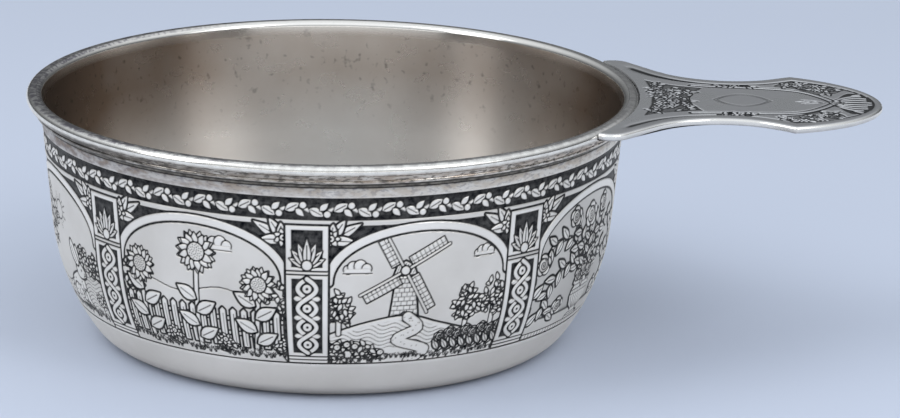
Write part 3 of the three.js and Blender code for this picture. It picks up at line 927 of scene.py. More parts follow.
def etched_sterling(finish):
    """Sterling silver, etched and left to blacken, then rubbed bright on its high places: the cut
    lines stay near black and the land is satin, with straw tarnish where fingers do not reach. The
    sheet and its bays share it."""
    name = "Etched sterling, satin"
    if name in bpy.data.materials:
        return bpy.data.materials[name]
    material, nodes, place = new_material(name)
    haze = add(nodes, "ShaderNodeMath", {0: worked(nodes, "oxide"), 1: HAZE}, operation="MINIMUM")
    dulled = add(nodes, "ShaderNodeMath", {
        0: haze, 1: 1.6, 2: blotches(nodes, place, 14, 0.35, 0.7, to=(0, 0.28))},
        operation="MULTIPLY_ADD", use_clamp=True)
    strip = ramp(nodes, place, RIM_TOP - 8, RIM_TOP - 6.4)
    smudge = blotches(nodes, place, 3.0, 0.4, 0.6, 5.0, (1, 1, 2.5))
    specks = blotches(nodes, place, 0.7, 0.52, 0.62, 4.0, (0.6, 0.6, 1.2))
    # Painted shadow under the wire: the sheet darkens towards the wire's foot, and the dark line below the
    # solder is part painted shadow, part dark joint.
    under_wire_shadow = add(nodes, "ShaderNodeMath", {0: ramp(nodes, place, RIM_TOP - 6.3, RIM_TOP - 4.8), 1: 2.5},
                 operation="POWER")
    under_wire_shadow = add(nodes, "ShaderNodeMath", {
        0: under_wire_shadow, 1: 0.5, 2: ramp(nodes, place, RIM_TOP - 5.1, RIM_TOP - 4.9, to=(0, 0.5))},
        operation="MULTIPLY_ADD")
    tone = coated(
        nodes, finish.satin, (finish.dull, dulled), (finish.dull, strip, 0.5),
        # Towards the left the strip under the wire is darker, a painted shade, mottled like patina.
        (finish.patina_and_shade, ramp(nodes, place, 14, -50, "X"), strip,
         blotches(nodes, place, 3.0, 0.4, 0.6, 5.0, (1, 1, 2.5), (0.35, 0.85))),
        (finish.straw, ramp(nodes, place, RIM_TOP - 8, RIM_TOP - 4.5), smudge, 0.6),
        (finish.patina_and_shade, ramp(nodes, place, RIM_TOP - 8, RIM_TOP - 5), specks, 0.5),
        # Painted shadow under the wire.
        (finish.oxide, under_wire_shadow),
        # The sheet is duller below the band's foot. Near the base it is darker still, a painted shade where
        # the lower wall mirrors the shadowed paper.
        (finish.dull, ramp(nodes, place, 9.2, 8.2, to=(0, 0.4))),
        (finish.patina_and_shade, ramp(nodes, place, 3.5, 0.8, to=(0, 0.3))),
        (finish.oxide, crisp_oxide_and_shade(nodes), blotches(nodes, place, 1.1, 0.3, 0.7, to=(1.0, 0.9))))
    grain = add(nodes, "ShaderNodeTexNoise", {"Vector": place, "Scale": metres(0.5), "Detail": 2.0})
    surfaced(nodes, Base_Color=tone, Metallic=1.0,
             Roughness=blotches(nodes, place, 1.1, 0.3, 0.7, to=(0.4, 0.48)),
             Normal=add(nodes, "ShaderNodeBump", {"Height": grain, "Strength": 0.12, "Distance": 0.02 * MM}))
    return material


def tarnished_inside(finish):
    """The same sheet inside, brushed round by years of spoons and washing up, which stretches its
    highlights upright. A brown tarnish is left under the lip, with a few spots. The two ends are
    browner and darkened umber, a painted dark reflection, and the lip's top is greyer towards the
    left, a painted dark reflection too."""
    material, nodes, place = new_material("Sterling, tarnished inside")
    across = add(nodes, "ShaderNodeSeparateXYZ", {0: place}).outputs["X"]
    high = ramp(nodes, place, 27, 41)
    lip = ramp(nodes, place, RIM_TOP - 3.0, RIM_TOP - 1.1)
    # Painted dark reflection: the inside is darker at its two ends, left and right, where it mirrors the dark
    # back of the room.
    ends = add(nodes, "ShaderNodeMath", {0: across, 1: across}, operation="MULTIPLY")
    ends = add(nodes, "ShaderNodeMath", {0: ends, 1: 1 / (58 * MM) ** 2}, operation="MULTIPLY")
    ends = add(nodes, "ShaderNodeMath", {0: ends, 1: ramp(nodes, place, 27, 41, to=(0.4, 1.0))},
               operation="MULTIPLY")
    # Brown tarnish that grows towards the lip, with the painted dark ends added to it.
    stain_and_end_shade = add(nodes, "ShaderNodeMath", {0: ends, 1: 0.8, 2: ramp(nodes, place, 27, 41, to=(0, 0.53))},
                operation="MULTIPLY_ADD")
    stain_and_end_shade = add(nodes, "ShaderNodeMath", {
        0: stain_and_end_shade, 1: blotches(nodes, place, 26, 0.25, 0.75, 2.0, to=(0.45, 1.15)),
        2: blotches(nodes, place, 5, 0.0, 1.0, 3.0, (0.8, 0.8, 1.0), (0, 0.2))},
        operation="MULTIPLY_ADD", use_clamp=True)
    # The deepest dark at the two ends, painted dark reflection.
    deep = add(nodes, "ShaderNodeMath", {0: ends, 1: 1.0}, operation="MINIMUM")
    tone = coated(
        # The umber coat at the two ends is painted dark reflection.
        nodes, finish.worn, (finish.brown, stain_and_end_shade), (finish.umber_end_shade, deep, deep, 0.58),
        (finish.oxide, blotches(nodes, place, 1.5, 0.64, 0.8, 1.0), high, 0.45),
        (finish.bright, lip, 0.85),
        # Towards the left the lip's top is greyer, a painted dark reflection, mottled like patina.
        (finish.patina_and_shade, ramp(nodes, place, RIM_TOP - 0.5, RIM_TOP - 0.25), ramp(nodes, place, -20, -58, "X"),
         blotches(nodes, place, 1.0, 0.42, 0.58, 5.0, to=(0.25, 0.95))))
    rough = blotches(nodes, place, 5, 0.0, 1.0, 3.0, (0.8, 0.8, 1.0), (0.25, 0.31))
    surfaced(nodes, Base_Color=tone, Metallic=1.0,
             Roughness=add(nodes, "ShaderNodeMath", {0: lip, 1: -0.13, 2: rough}, operation="MULTIPLY_ADD"),
             Anisotropic=ramp(nodes, place, RIM_TOP - 3.0, RIM_TOP - 1.1, to=(0.75, 0)),
             Anisotropic_Rotation=0.25,
             Tangent=add(nodes, "ShaderNodeTangent", direction_type="RADIAL", axis="Z"))
    return material


def worn_bright_wire(finish):
    """Drawn sterling wire, burnished by use on its bead, with a mottled patina on its flat top and
    tarnish and dirt worn thin in its hollow. Part of this is painted light: painted shade in the hollow,
    painted dark reflection on the flat top and the hollow towards the left, and a painted shadow at the
    wire's foot."""
    material, nodes, place = new_material("Sterling wire, burnished")
    streak = (nodes, place, 1.2, 0.3, 0.6, 4.0, (0.35, 0.35, 1.6))
    # The hollow: brown tarnish and dirt, darkened further by painted shade that falls in it.
    hollow = add(nodes, "ShaderNodeMath", {0: ramp(nodes, place, RIM_TOP - 4.4, RIM_TOP - 3.4),
                                           1: ramp(nodes, place, RIM_TOP - 1.9, RIM_TOP - 1.3)},
                 operation="SUBTRACT", use_clamp=True)
    # Patina on the flat top, heavier towards the left, where it is painted dark reflection.
    mottled = add(nodes, "ShaderNodeMath", {
        0: blotches(nodes, place, 1.6, 0.4, 0.6, 6.0), 1: ramp(nodes, place, 18, -45, "X", (0.35, 0.8)),
        2: ramp(nodes, place, 18, -45, "X", (0.05, 0.3))}, operation="MULTIPLY_ADD", use_clamp=True)
    tone = coated(
        nodes, finish.bright, (finish.dull, blotches(nodes, place, 1.6, 0.4, 0.6, 6.0, to=(0, 0.3))),
        (finish.brown, hollow, blotches(*streak, (0.25, 0.8))),
        # Towards the left the hollow is darker, a painted shade.
        (finish.grime_and_shade, hollow, ramp(nodes, place, 18, -45, "X"), blotches(*streak, (0.5, 1.0))),
        (finish.grime_and_shade, hollow, blotches(nodes, place, 0.7, 0.5, 0.6, 4.0, (0.5, 0.5, 1.4)), 0.75),
        (finish.patina_and_shade, ramp(nodes, place, RIM_TOP - 0.3, RIM_TOP - 0.02), mottled),
        # Painted shadow at the wire's foot, where it meets the sheet.
        (finish.oxide, ramp(nodes, place, RIM_TOP - 3.65, RIM_TOP - 3.85)))
    surfaced(nodes, Base_Color=tone, Metallic=1.0,
             Roughness=blotches(nodes, place, 1.6, 0.4, 0.6, 6.0, to=(0.12, 0.2)))
    return material


def struck_handle(finish):
    """Sterling struck in a die, blackened in its ornament and dulled by hand wear on its field."""
    material, nodes, place = new_material("Struck sterling, satin")
    rubbed = worked(nodes, "rubbed")
    brush = blotches(nodes, place, 0.5, 0.35, 0.65, 2.0, (0.08, 1.0, 1.0))
    # Bright edges: wear with a painted highlight, strongest on the near side. The dark coat holds oxide in
    # the ornament and painted shade on the far edge and the border.
    tone = coated(nodes, finish.plate, (finish.patina_and_shade, blotches(nodes, place, 6, 0.35, 0.68, to=(0, 0.3))),
                  (finish.bright, rubbed), (finish.oxide, crisp_oxide_and_shade(nodes)))
    rough = blotches(nodes, place, 6, 0.35, 0.68, to=(0.26, 0.34))
    surfaced(nodes, Base_Color=tone, Metallic=1.0,
             Roughness=add(nodes, "ShaderNodeMath", {0: rubbed, 1: -0.12, 2: rough},
                           operation="MULTIPLY_ADD"),
             Normal=add(nodes, "ShaderNodeBump", {"Height": brush, "Strength": 0.1, "Distance": 0.01 * MM}))
    return material


def silver_solder(finish):
    """Silver solder that has run and set: greyer than the sheet and slightly lumpy."""
    material, nodes, place = new_material("Silver solder, tarnished")
    lumps = blotches(nodes, place, 1.4, 0.35, 0.65)
    surfaced(nodes, Metallic=1.0, Roughness=0.42,
             Base_Color=coated(nodes, finish.solder, (finish.grime_and_shade, lumps)),
             Normal=add(nodes, "ShaderNodeBump", {"Height": lumps, "Strength": 0.3, "Distance": 0.05 * MM}))
    return material


def studio_paper(stage):
    """Matt paper, pale blue to the lens, with painted light that makes it a little lighter in front.
    Polished metal mirrors it paler, as it lies in full light."""
    material, nodes, place = new_material("Studio paper")
    # Painted light: the paper is a little lighter in front, where the lamps fall on it.
    near = [c * 1.15 for c in stage.paper]
    mirrored = add(nodes, "ShaderNodeLightPath").outputs["Is Glossy Ray"]
    surfaced(nodes, Roughness=0.9, Base_Color=coated(
        nodes, near, (stage.paper, ramp(nodes, place, -160, 300, "Y")), (stage.mirrored, mirrored)))
    return material


# Sections

LIP_STEPS = 14


def bowl_lines(bowl):
    """Both faces of the sheet, as a function of the depth under the outer face."""
    d, h, lip = bowl.draught, bowl.heel_angle, bowl.lip_angle
    start = RIM_TOP - bowl.lip_drop - bowl.lip_radius * (math.sin(lip) - math.sin(d))
    outer_lip = bowl.lip_radius - bowl.sheet
    flare = (bowl.wall_radius + outer_lip * math.cos(d), start - bowl.lip_radius * math.sin(d))
    belly_top = (bowl.heel_radius * (1 - math.sin(h))
                 + bowl.belly_radius * (math.sin(h) - math.sin(d)))
    wall_end = start - outer_lip * math.sin(d)

    def wall_radius(height):
        return bowl.wall_radius - (wall_end - height) * math.tan(d)

    belly = (wall_radius(belly_top) - bowl.belly_radius * math.cos(d),
             belly_top + bowl.belly_radius * math.sin(d))
    heel = (belly[0] + (bowl.belly_radius - bowl.heel_radius) * math.cos(h), bowl.heel_radius)

    def face(depth):
        """From the axis out along the base and up to the lip's edge."""
        return np.concatenate([
            np.linspace((0, depth), (heel[0], depth), 20)[:-1],
            arc(heel, bowl.heel_radius - depth, -math.pi / 2, -h, 24),
            arc(belly, bowl.belly_radius - depth, -h, -d, 40)[1:],
            arc(flare, outer_lip + depth, math.pi - d, math.pi - lip, LIP_STEPS),
        ])

    return SimpleNamespace(face=face, wall_radius=wall_radius, flare=flare, outer_lip=outer_lip)


def band_lines(bowl, band):
    """The outer face from the band's foot to its top, and how it goes on inwards."""
    lines = bowl_lines(bowl)
    outer, inner = lines.face(0.0), lines.face(1.0)
    run = run_along(outer)
    climb = len(outer) - LIP_STEPS - 1
    low, high = np.interp([band.foot, RIM_TOP - band.drop], outer[:climb + 1, 1], run[:climb + 1])

    def at(v, depth):
        """Radius and height at a distance above the band's foot and a depth under the face."""
        out = np.stack([np.interp(low + v, run, outer[:, k]) for k in (0, 1)], -1)
        deep = np.stack([np.interp(low + v, run, inner[:, k]) for k in (0, 1)], -1)
        return out + (deep - out) * np.asarray(depth)[..., None]

    return SimpleNamespace(at=at, low=low, high=high, run=run, top=high - low)


def bowl_section(bowl, band):
    """The sheet: out along the inside, over the lip and down the outer face, which is set back
    where the etched bays are."""
    lines, strip = bowl_lines(bowl), band_lines(bowl, band)
    outer = lines.face(0.0)
    below = outer[strip.run < strip.low]
    above = outer[strip.run > strip.high]
    v = np.linspace(0, strip.top, 40)
    seat = strip.at(v, np.full(len(v), band.seat))
    edges = strip.at(np.array([0.0, strip.top]), np.zeros(2))
    return np.concatenate([lines.face(bowl.sheet), above[::-1], edges[1:], seat[::-1], edges[:1],
                           below[::-1]])


def rim_section(bowl, rim):
    """The wire: down the bead, the hollow and the foot bead, and back up against the lip."""
    lines = bowl_lines(bowl)
    inner = lines.outer_lip - rim.seam
    past = bowl.lip_angle + rim.seam / lines.outer_lip
    edge = (lines.flare[0] - bowl.lip_radius * math.cos(past),
            lines.flare[1] + bowl.lip_radius * math.sin(past))
    foot = RIM_TOP - rim.depth
    bead = (RIM_RADIUS - rim.bead, RIM_TOP - rim.bead)
    bead_end = (bead[0] + rim.bead * math.cos(rim.undercut), bead[1] - rim.bead * math.sin(rim.undercut))
    foot_x = bead_end[0] - rim.cove - rim.quirk - rim.foot_bead * math.cos(rim.undercut)
    upwards = np.concatenate([
        [(lines.wall_radius(foot) + rim.seam, foot)],
        arc((foot_x, foot + rim.foot_bead), rim.foot_bead, -math.pi / 2, rim.undercut, 14),
        arc((bead_end[0], bead_end[1] - rim.cove), rim.cove, math.pi, math.pi / 2, 12)[:-1],
        arc(bead, rim.bead, -rim.undercut, math.pi / 2, 22),
        [edge],
        arc(lines.flare, inner, math.pi - past, math.pi - bowl.draught, 10),
    ])
    return upwards[::-1]


def solder_section(bowl, rim):
    """The hollow fillet of solder under the wire."""
    lines = bowl_lines(bowl)
    top = RIM_TOP - rim.depth - rim.seam
    foot = top - rim.fillet
    wall = lines.wall_radius(top) + rim.seam
    toe = rim.fillet * 0.1
    return np.concatenate([
        [(lines.wall_radius(foot) + rim.seam, foot)],
        arc((wall + toe + rim.fillet, foot), rim.fillet, math.pi, math.pi / 2, 8),
        [(wall, top)],
    ])[::-1]


# Handle

def handle_side(handle, root):
    """Half of the outline from the rim to the shoulder, and the tip's half from there."""
    waist_x = RIM_RADIUS + handle.waist_out
    shoulder = (RIM_RADIUS + handle.shoulder_out, handle.shoulder_half)
    wing, rise_angle, fall = handle.wing_angle, handle.shoulder_rise, handle.shoulder_fall
    waist = (waist_x, handle.waist_half + handle.waist_radius)
    side_end = (waist[0] - handle.waist_radius * math.sin(wing),
                waist[1] - handle.waist_radius * math.cos(wing))
    end_y = handle.wing_half - handle.wing_end
    end_x = side_end[0] - (handle.wing_end + (end_y - side_end[1]) * math.cos(wing)) / math.sin(wing)
    pull = handle.shoulder_pull
    side = np.concatenate([
        arc((end_x, end_y), handle.wing_end, math.radians(150), math.pi / 2 - wing, 24),
        arc(waist, handle.waist_radius, -math.pi / 2 - wing, -math.pi / 2, 40),
        bezier((waist_x, handle.waist_half), (waist_x + handle.waist_pull, handle.waist_half),
               (shoulder[0] - pull * math.cos(rise_angle), shoulder[1] - pull * math.sin(rise_angle)),
               shoulder, 40)[1:],
    ])
    tip = bezier(shoulder, (shoulder[0] + handle.tip_round * math.cos(fall),
                            shoulder[1] - handle.tip_round * math.sin(fall)),
                 (HANDLE_TIP, handle.tip_pull), (HANDLE_TIP, 0), 80)
    run = run_along(side)
    reach = np.hypot(side[:, 0], side[:, 1])
    start = np.interp(root, reach[:40], run[:40])
    return at_run(side, np.linspace(start, run[-1], 200)), tip


def handle_grid(handle, root):
    """A grid that fills the outline: across it in columns, and from the root to the tip in rows."""
    side, tip = handle_side(handle, root)
    across = np.linspace(-1, 1, handle.columns + 1)
    along = np.linspace(0, 1, handle.rows + 1)
    upper = at_run(side, along * run_along(side)[-1])
    lower = upper * (1, -1)
    half_turn = math.atan2(side[0, 1], side[0, 0])
    root_line = root * np.stack([np.cos(across * half_turn), np.sin(across * half_turn)], 1)
    tip_half = at_run(tip, np.linspace(1, 0, handle.columns // 2 + 1) * run_along(tip)[-1])
    tip_line = np.concatenate([tip_half[:0:-1] * (1, -1), tip_half])
    s, t = ((across[None, :, None] + 1) / 2, along[:, None, None])
    corners = ((1 - t) * ((1 - s) * root_line[0] + s * root_line[-1])
               + t * ((1 - s) * tip_line[0] + s * tip_line[-1]))
    grid = ((1 - t) * root_line[None] + t * tip_line[None]
            + (1 - s) * lower[:, None] + s * upper[:, None] - corners)
    outline = np.concatenate([lower, tip_line[1:-1], upper[::-1]])
    return grid, outline


def handle_ornament(r, rng):
    """Two ribs that cross before the tip, sprays of small flowers round them, and a plain field with
    one fine lozenge."""
    for y in (1, -1):
        def at(points, y=y):
            return [(px, y * py) for px, py in points]

        r.ground(at([(66.1, 0), (66.0, 5), (65.4, 10), (64.5, 15.0), (67.8, 12.4), (71.6, 10.9),
                     (76.6, 9.6), (74.6, 5.0), (73.8, 0)]), 0.55)
        r.ground(smooth_line(at([(79.2, 12.4), (82, 10.8), (84.5, 10.4), (87.2, 11.5), (85.2, 13.5),
                                 (82.0, 14.0)]), True), 0.5)
        r.ground(smooth_line(at([(91.6, 12.8), (96.5, 10.4), (100.2, 7.2), (103.6, 7.6), (105.6, 11.4),
                                 (101.6, 15.4), (97.6, 18.0), (94.2, 16.4)]), True), 0.45)
        r.ground(smooth_line(at([(104.4, 0), (104.9, 4.6), (107.0, 8.6), (109.6, 7.6), (111.4, 3.6),
                                 (111.9, 0)])), 0.9)
        r.cut(smooth_line(at([(102.6, 14.4), (106.6, 11.2), (109.4, 8.0), (111.3, 4.4), (112.0, 0)])), 0.7)
    for y in (1, -1):
        rib = smooth_line([(74.5, y * 11.6), (80, y * 11.0), (88, y * 10.6), (93.5, y * 9.9), (97.6, y * 8.2),
                           (101, y * 4.7), (104.0, 0), (106.4, y * -4.6), (109.0, y * -7.4)], steps=8)
        r.strap(rib, 0.9, 0.6)
    for bend in (-5, -3.6, -2.2, -0.8, 0.8, 2.2, 3.6, 5):
        frond = bezier((103.6, bend * 0.2), (105.5, bend * 1.1), (109.0, bend * 1.5), (112.2, bend * 0.9), 10)
        r.strap(frond[:10 - int(abs(bend) * 0.5)], 0.6, 0.36)
    rose(r, 104.2, 0, 1.5)
    blooms = ((67.9, 1.5, 1.3), (67.6, 4.9, 1.25), (67.1, 8.2, 1.15), (70.6, 0.0, 1.25), (70.4, 3.4, 1.2),
              (69.9, 6.8, 1.25), (73.0, 1.8, 1.0), (73.2, 5.2, 1.1), (66.6, 11.2, 0.95), (72.7, 8.4, 1.0),
              (81.2, 12.4, 0.85), (83.4, 12.2, 1.1), (85.7, 12.0, 0.8), (94.2, 13.6, 1.05),
              (96.9, 15.3, 1.3), (97.4, 12.2, 1.15), (100.3, 13.8, 1.25), (100.6, 10.4, 1.2),
              (103.2, 11.2, 1.1), (102.6, 8.4, 0.9))
    for y in (1, -1):
        for px, py, radius in blooms:
            for _ in range(3):
                angle = rng.uniform(0, 2 * math.pi)
                leaf(r, px + radius * 0.6 * math.cos(angle), y * py + radius * 0.6 * math.sin(angle), angle,
                     1.9, 0.8, False, 0.34)
        for k, (px, py, radius) in enumerate(blooms):
            if k % 3:
                daisy(r, px, y * py, radius, 6, 0.36)
            else:
                rose(r, px, y * py, radius)
        for inset in (0.0, 0.7):
            half = smooth_line([(78.8 + inset, 0), (81.4, y * (3.4 - inset)), (84.8, y * (5.2 - inset)),
                                (88.2, y * (3.4 - inset)), (90.8 - inset, 0)], steps=6)
            r.cut(half, 0.45, 0.3, dark=0.6)
    for angle, long in ((2.75, 4.4), (math.pi, 5.2), (-2.75, 4.4)):
        leaf(r, 101.2, 0, angle, long, 1.1, True, 0.2)


def handle_heights(handle, grid, outline, relief):
    """Height of the plate's top at each place of its grid, how dark it is and how bright. The dark is
    oxide in the ornament and the groove, with painted shade on the far edge and the border; the bright
    is wear along the edges with a painted highlight, strongest on the near side.
    """
    x, y = grid[..., 0].ravel(), grid[..., 1].ravel()
    away = relief.distance(np.arange(len(x)), outline, False)
    border = handle.border * np.interp(x, [96, 111], [1.0, 0.5])
    crown = np.interp(away, [0, 0.1, 0.3, 0.6, 1.0], [-0.44, -0.26, -0.1, -0.02, 0.0])
    wing = np.clip((x - 58) / 7, 0, 1)
    wing = wing * wing * (3 - 2 * wing)
    inwards = np.clip((away - border + 0.4) / 0.4, 0, 1)
    field = -handle.field_depth * wing * inwards + (relief.high - 1) * 0.14 * (away > border)
    width = np.interp(x, [60, 66, 76, 92], [0.9, 0.75, 0.4, 0.3])
    groove = np.exp(-((away - border) / width) ** 2) * np.clip((x - 60) / 2, 0, 1) * (x < 103)
    root = np.hypot(x, y) < RIM_RADIUS + 2.5
    crown = np.where(root & (away < 1.0) & (np.abs(y) < handle.wing_half - 3), 0.0, crown)
    # Painted shade: the far edge is darkened, as it faces away and mirrors the dark back of the room.
    far_edge_shade = 0.45 * np.exp(-(away / 0.4) ** 2) * (y > 0)
    # Oxide in the ornament and the groove. On the border there is a faint painted shade where it mirrors the
    # dark back, and the far edge has its painted shade.
    oxide = np.maximum(np.where(away > border, relief.dark, np.maximum(far_edge_shade, 0.34 * wing)), 0.9 * groove)
    # Wear along the edges with a painted highlight, strong on the near side and faint on the far side.
    rubbed = np.clip(1.1 - away / 0.45, 0, 1) * np.where(y > 0, 0.2, 1.0)
    return HANDLE_TOP + crown + field - 0.2 * groove, oxide, rubbed


# Operators

def settled(piece, slot, *nodes):
    """The piece rides on the one body and stands for its nodes, which are hidden. Its slot is not used."""
    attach(piece, "root")
    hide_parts(*nodes)


class PORRINGER_OT_spin_bowl(Operator):
    """Spin the bowl's sheet, with a seat for the etched bays"""
    bl_idname = "porringer.spin_bowl"
    bl_label = "Spin Bowl"

    def execute(self, context):
        look = context.scene.porringer
        bowl, band = sizes(look.bowl), sizes(look.band)
        piece = turned("bowl_sheet", bowl_section(bowl, band), turning_tree(), etched_sterling(look.finish),
                       bowl.segments, False)
        piece.data.materials.append(tarnished_inside(look.finish))
        for face in piece.data.polygons:
            outwards = face.center.x * face.normal.x + face.center.y * face.normal.y
            face.material_index = int(face.normal.z > 0.3 or outwards < -1e-4)
        settled(piece, "bowl_silver", "bowl")
        return {"FINISHED"}


class PORRINGER_OT_etch_band(Operator):
    """Etch the band's bays and repeat each design round the bowl"""
    bl_idname = "porringer.etch_band"
    bl_label = "Etch Band"

    def execute(self, context):
        look = context.scene.porringer
        bowl, band = sizes(look.bowl), sizes(look.band)
        if band.bays % len(PICTURES) or band.columns % COARSE or band.rows % COARSE:
            raise ValueError("The bays are a multiple of 4, and their columns and rows of 8")
        strip = band_lines(bowl, band)
        material = etched_sterling(look.finish)
        repeating = repeating_tree()
        half = bowl.wall_radius * math.pi / band.bays
        u, v = np.meshgrid(np.linspace(-half, half, band.columns + 1),
                           np.linspace(EDGE_GAP, strip.top - EDGE_GAP, band.rows + 1))
        for number, picture in enumerate(PICTURES):
            r = etched_bay(picture, u.ravel(), v.ravel(), half, strip.top, 5 + number)
            depth = (1 - r.high).reshape(u.shape) * band.depth
            middle = 2 * math.pi * (number + 0.5) / band.bays
            front = self.bent(strip, u / half * math.pi / band.bays + middle, v, depth)
            u_back, v_back = u[::COARSE, ::COARSE], v[::COARSE, ::COARSE]
            back = self.bent(strip, u_back / half * math.pi / band.bays + middle, v_back,
                             np.full(u_back.shape, band.seat - BACK_GAP))
            name = "etched_bays_" + picture.__name__
            piece = plate(name, front, back, oxide=r.dark)
            grow(piece, repeating, count=band.bays // len(PICTURES), material=material)
            settled(piece, "bowl_silver", "bowl")
        return {"FINISHED"}

    @staticmethod
    def bent(strip, angle, v, depth):
        """Places on the band, from an angle round the bowl, a distance up it and a depth into it."""
        radius, height = np.moveaxis(strip.at(v, depth), -1, 0)
        return np.stack([radius * np.cos(angle), radius * np.sin(angle), height], -1)


class PORRINGER_OT_bend_rim(Operator):
    """Bend the moulded wire round the lip and run its solder"""
    bl_idname = "porringer.bend_rim"
    bl_label = "Bend Rim"

    def execute(self, context):
        look = context.scene.porringer
        bowl, rim = sizes(look.bowl), sizes(look.rim)
        lathe = turning_tree()
        wire = turned("rim_moulding", rim_section(bowl, rim), lathe, worn_bright_wire(look.finish),
                      bowl.segments, True)
        settled(wire, "rim_silver", "rim_wire")
        solder = silver_solder(look.finish)
        fillet = turned("rim_solder_fillet", solder_section(bowl, rim), lathe, solder, bowl.segments, True)
        settled(fillet, "solder", "rim_solder")
        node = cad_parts["handle_solder"]
        node.data.materials.clear()
        node.data.materials.append(solder)
        return {"FINISHED"}


class PORRINGER_OT_strike_handle(Operator):
    """Strike the flat handle with its border and its ornament"""
    bl_idname = "porringer.strike_handle"
    bl_label = "Strike Handle"

    def execute(self, context):
        look = context.scene.porringer
        handle = sizes(look.handle)
        if handle.columns % COARSE or handle.rows % COARSE:
            raise ValueError("The handle's columns and rows are multiples of 8")
        grid, outline = handle_grid(handle, RIM_RADIUS + handle.gap)
        relief = Relief(grid[..., 0].ravel(), grid[..., 1].ravel(), 1.5)
        handle_ornament(relief, random.Random(11))
        high, oxide, rubbed = handle_heights(handle, grid, outline, relief)
        front = np.concatenate([grid, high.reshape(grid.shape[:2])[..., None]], -1)
        coarse = grid[::COARSE, ::COARSE].copy()
        coarse[0, :] += (handle.edge, 0)
        coarse[-1, :] -= (handle.edge, 0)
        coarse[:, 0] += (0, handle.edge)
        coarse[:, -1] -= (0, handle.edge)
        back = np.concatenate([coarse, np.full((*coarse.shape[:2], 1), HANDLE_FOOT)], -1)
        border = np.concatenate([front[0, :-1], front[:-1, -1], front[-1, :0:-1], front[:0:-1, 0]])
        side = border * (1, 1, 0) + (0, 0, HANDLE_FOOT + handle.edge)
        piece = plate("struck_handle", front, back, [side], oxide=oxide, rubbed=rubbed)
        piece.data.materials.append(struck_handle(look.finish))
        settled(piece, "handle_silver", "handle")
        return {"FINISHED"}


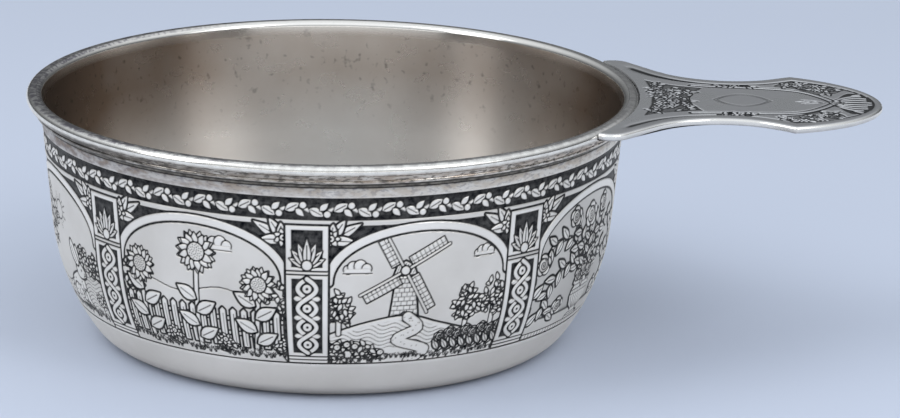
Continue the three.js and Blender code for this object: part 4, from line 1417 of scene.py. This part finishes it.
class PORRINGER_OT_set_stage(Operator):
    """Set the paper, the lamps and the camera"""
    bl_idname = "porringer.set_stage"
    bl_label = "Set Stage"

    def execute(self, context):
        stage = context.scene.porringer.stage
        scene = context.scene
        scene.view_settings.view_transform = "Standard"
        self.paper(stage)
        self.world(scene, stage)
        self.lamp("Softbox over the left", (-850, -350, 1100), (700, 700), 2.8)
        self.lamp("Softbox over the right", (750, -650, 900), (450, 600), 2.2)
        self.lamp("Strip at the left", (-980, -620, 480), (500, 420), 1.2)
        self.lamp("Strip at the right", (980, -620, 500), (500, 420), 0.6)
        self.lamp("Strip in front", (0, -1150, 180), (2000, 240), 1.5)
        scene.camera = self.camera(stage)
        return {"FINISHED"}

    @staticmethod
    def paper(stage):
        corners = [(x, y, 0) for x, y in ((-4000, -4000), (4000, -4000), (4000, 4000), (-4000, 4000))]
        mesh = new_mesh("paper", corners, (), [(0, 1, 2, 3)])
        mesh.materials.append(studio_paper(stage))
        new_object("paper", mesh)

    @staticmethod
    def world(scene, stage):
        """A light tent: bright overhead and dark at the horizon. The lens sees it as pale as the paper."""
        world = bpy.data.worlds.new("Studio")
        world.use_nodes = True
        nodes = world.node_tree
        nodes.nodes.clear()
        towards = add(nodes, "ShaderNodeTexCoord").outputs["Generated"]
        _, back, up = add(nodes, "ShaderNodeSeparateXYZ", {0: towards}).outputs
        tent = add(nodes, "ShaderNodeFloatCurve", {"Value": up})
        points = tent.mapping.curves[0].points
        points[0].location, points[1].location = (0.0, 0.08), (1.0, 1.0)
        for height, strength in ((0.25, 0.28), (0.5, 0.68), (0.8, 1.0)):
            points.new(height, strength)
        fade = add(nodes, "ShaderNodeMath", {0: back, 1: -0.25, 2: 1.0}, operation="MULTIPLY_ADD")
        strength = add(nodes, "ShaderNodeMath", {0: tent, 1: fade}, operation="MULTIPLY")
        room = add(nodes, "ShaderNodeBackground", {"Color": stage.tent, "Strength": strength})
        seen = add(nodes, "ShaderNodeBackground", {"Color": stage.paper, "Strength": 1.0})
        ray = add(nodes, "ShaderNodeLightPath").outputs["Is Camera Ray"]
        both = add(nodes, "ShaderNodeMixShader", {0: ray, 1: room, 2: seen})
        add(nodes, "ShaderNodeOutputWorld", {0: both})
        scene.world = world

    @staticmethod
    def lamp(name, place, size, power):
        """A softbox that faces the bowl. Place and size are in millimetres."""
        light = bpy.data.lights.new(name, "AREA")
        light.shape = "RECTANGLE"
        light.size, light.size_y = (side * MM for side in size)
        light.energy = power
        lamp = new_object(name, light)
        lamp.location = Vector(place) * MM
        towards = Vector((0, 0, RIM_TOP / 2 * MM)) - lamp.location
        lamp.rotation_euler = towards.to_track_quat("-Z", "Y").to_euler()

    @staticmethod
    def camera(stage):
        """The lens looks past the middle of the rim so that this lands on its own pixel."""
        data = bpy.data.cameras.new("Camera")
        data.lens, data.sensor_width = stage.lens, SENSOR_WIDTH
        a, e = stage.azimuth, stage.elevation
        back = Vector((math.sin(a) * math.cos(e), -math.cos(a) * math.cos(e), math.sin(e)))
        straight = (-back).to_track_quat("-Z", "Y").to_matrix()
        pixels = PHOTO_WIDTH * stage.lens / SENSOR_WIDTH
        right = (RIM_MIDDLE_PIXEL[0] - PHOTO_WIDTH / 2) / pixels
        up = (PHOTO_HEIGHT / 2 - RIM_MIDDLE_PIXEL[1]) / pixels
        aim = Vector((right, up, -1)).rotation_difference(Vector((0, 0, -1))).to_matrix()
        camera = new_object("Camera", data)
        place = back * stage.distance + Vector((0, 0, RIM_TOP * MM))
        turned_by = straight @ Matrix.Rotation(stage.roll, 3, "Z") @ aim
        camera.matrix_world = Matrix.Translation(place) @ turned_by.to_4x4()
        return camera


OPERATORS = (PORRINGER_OT_spin_bowl, PORRINGER_OT_etch_band, PORRINGER_OT_bend_rim,
             PORRINGER_OT_strike_handle, PORRINGER_OT_set_stage)


class PORRINGER_PT_panel(Panel):
    """The porringer's jobs and sizes"""
    bl_idname = "PORRINGER_PT_panel"
    bl_label = "Porringer"
    bl_space_type = "VIEW_3D"
    bl_region_type = "UI"
    bl_category = "Porringer"

    def draw(self, context):
        look = context.scene.porringer
        for job in OPERATORS:
            self.layout.operator(job.bl_idname)
        for part in ("bowl", "band", "rim", "handle", "finish", "stage"):
            box = self.layout.box()
            box.label(text=part.capitalize())
            group = getattr(look, part)
            for key, rule in group.bl_rna.properties.items():
                if rule.is_runtime:
                    box.prop(group, key)


CLASSES = (BowlSettings, BandSettings, RimSettings, HandleSettings, FinishSettings, StageSettings,
           PorringerSettings, *OPERATORS, PORRINGER_PT_panel)


def register():
    for cls in CLASSES:
        bpy.utils.register_class(cls)
    bpy.types.Scene.porringer = PointerProperty(type=PorringerSettings)


def unregister():
    del bpy.types.Scene.porringer
    for cls in reversed(CLASSES):
        bpy.utils.unregister_class(cls)


def main():
    register()
    bpy.ops.porringer.spin_bowl()
    bpy.ops.porringer.etch_band()
    bpy.ops.porringer.bend_rim()
    bpy.ops.porringer.strike_handle()
    bpy.ops.porringer.set_stage()


if __name__ == "__main__":
    main()
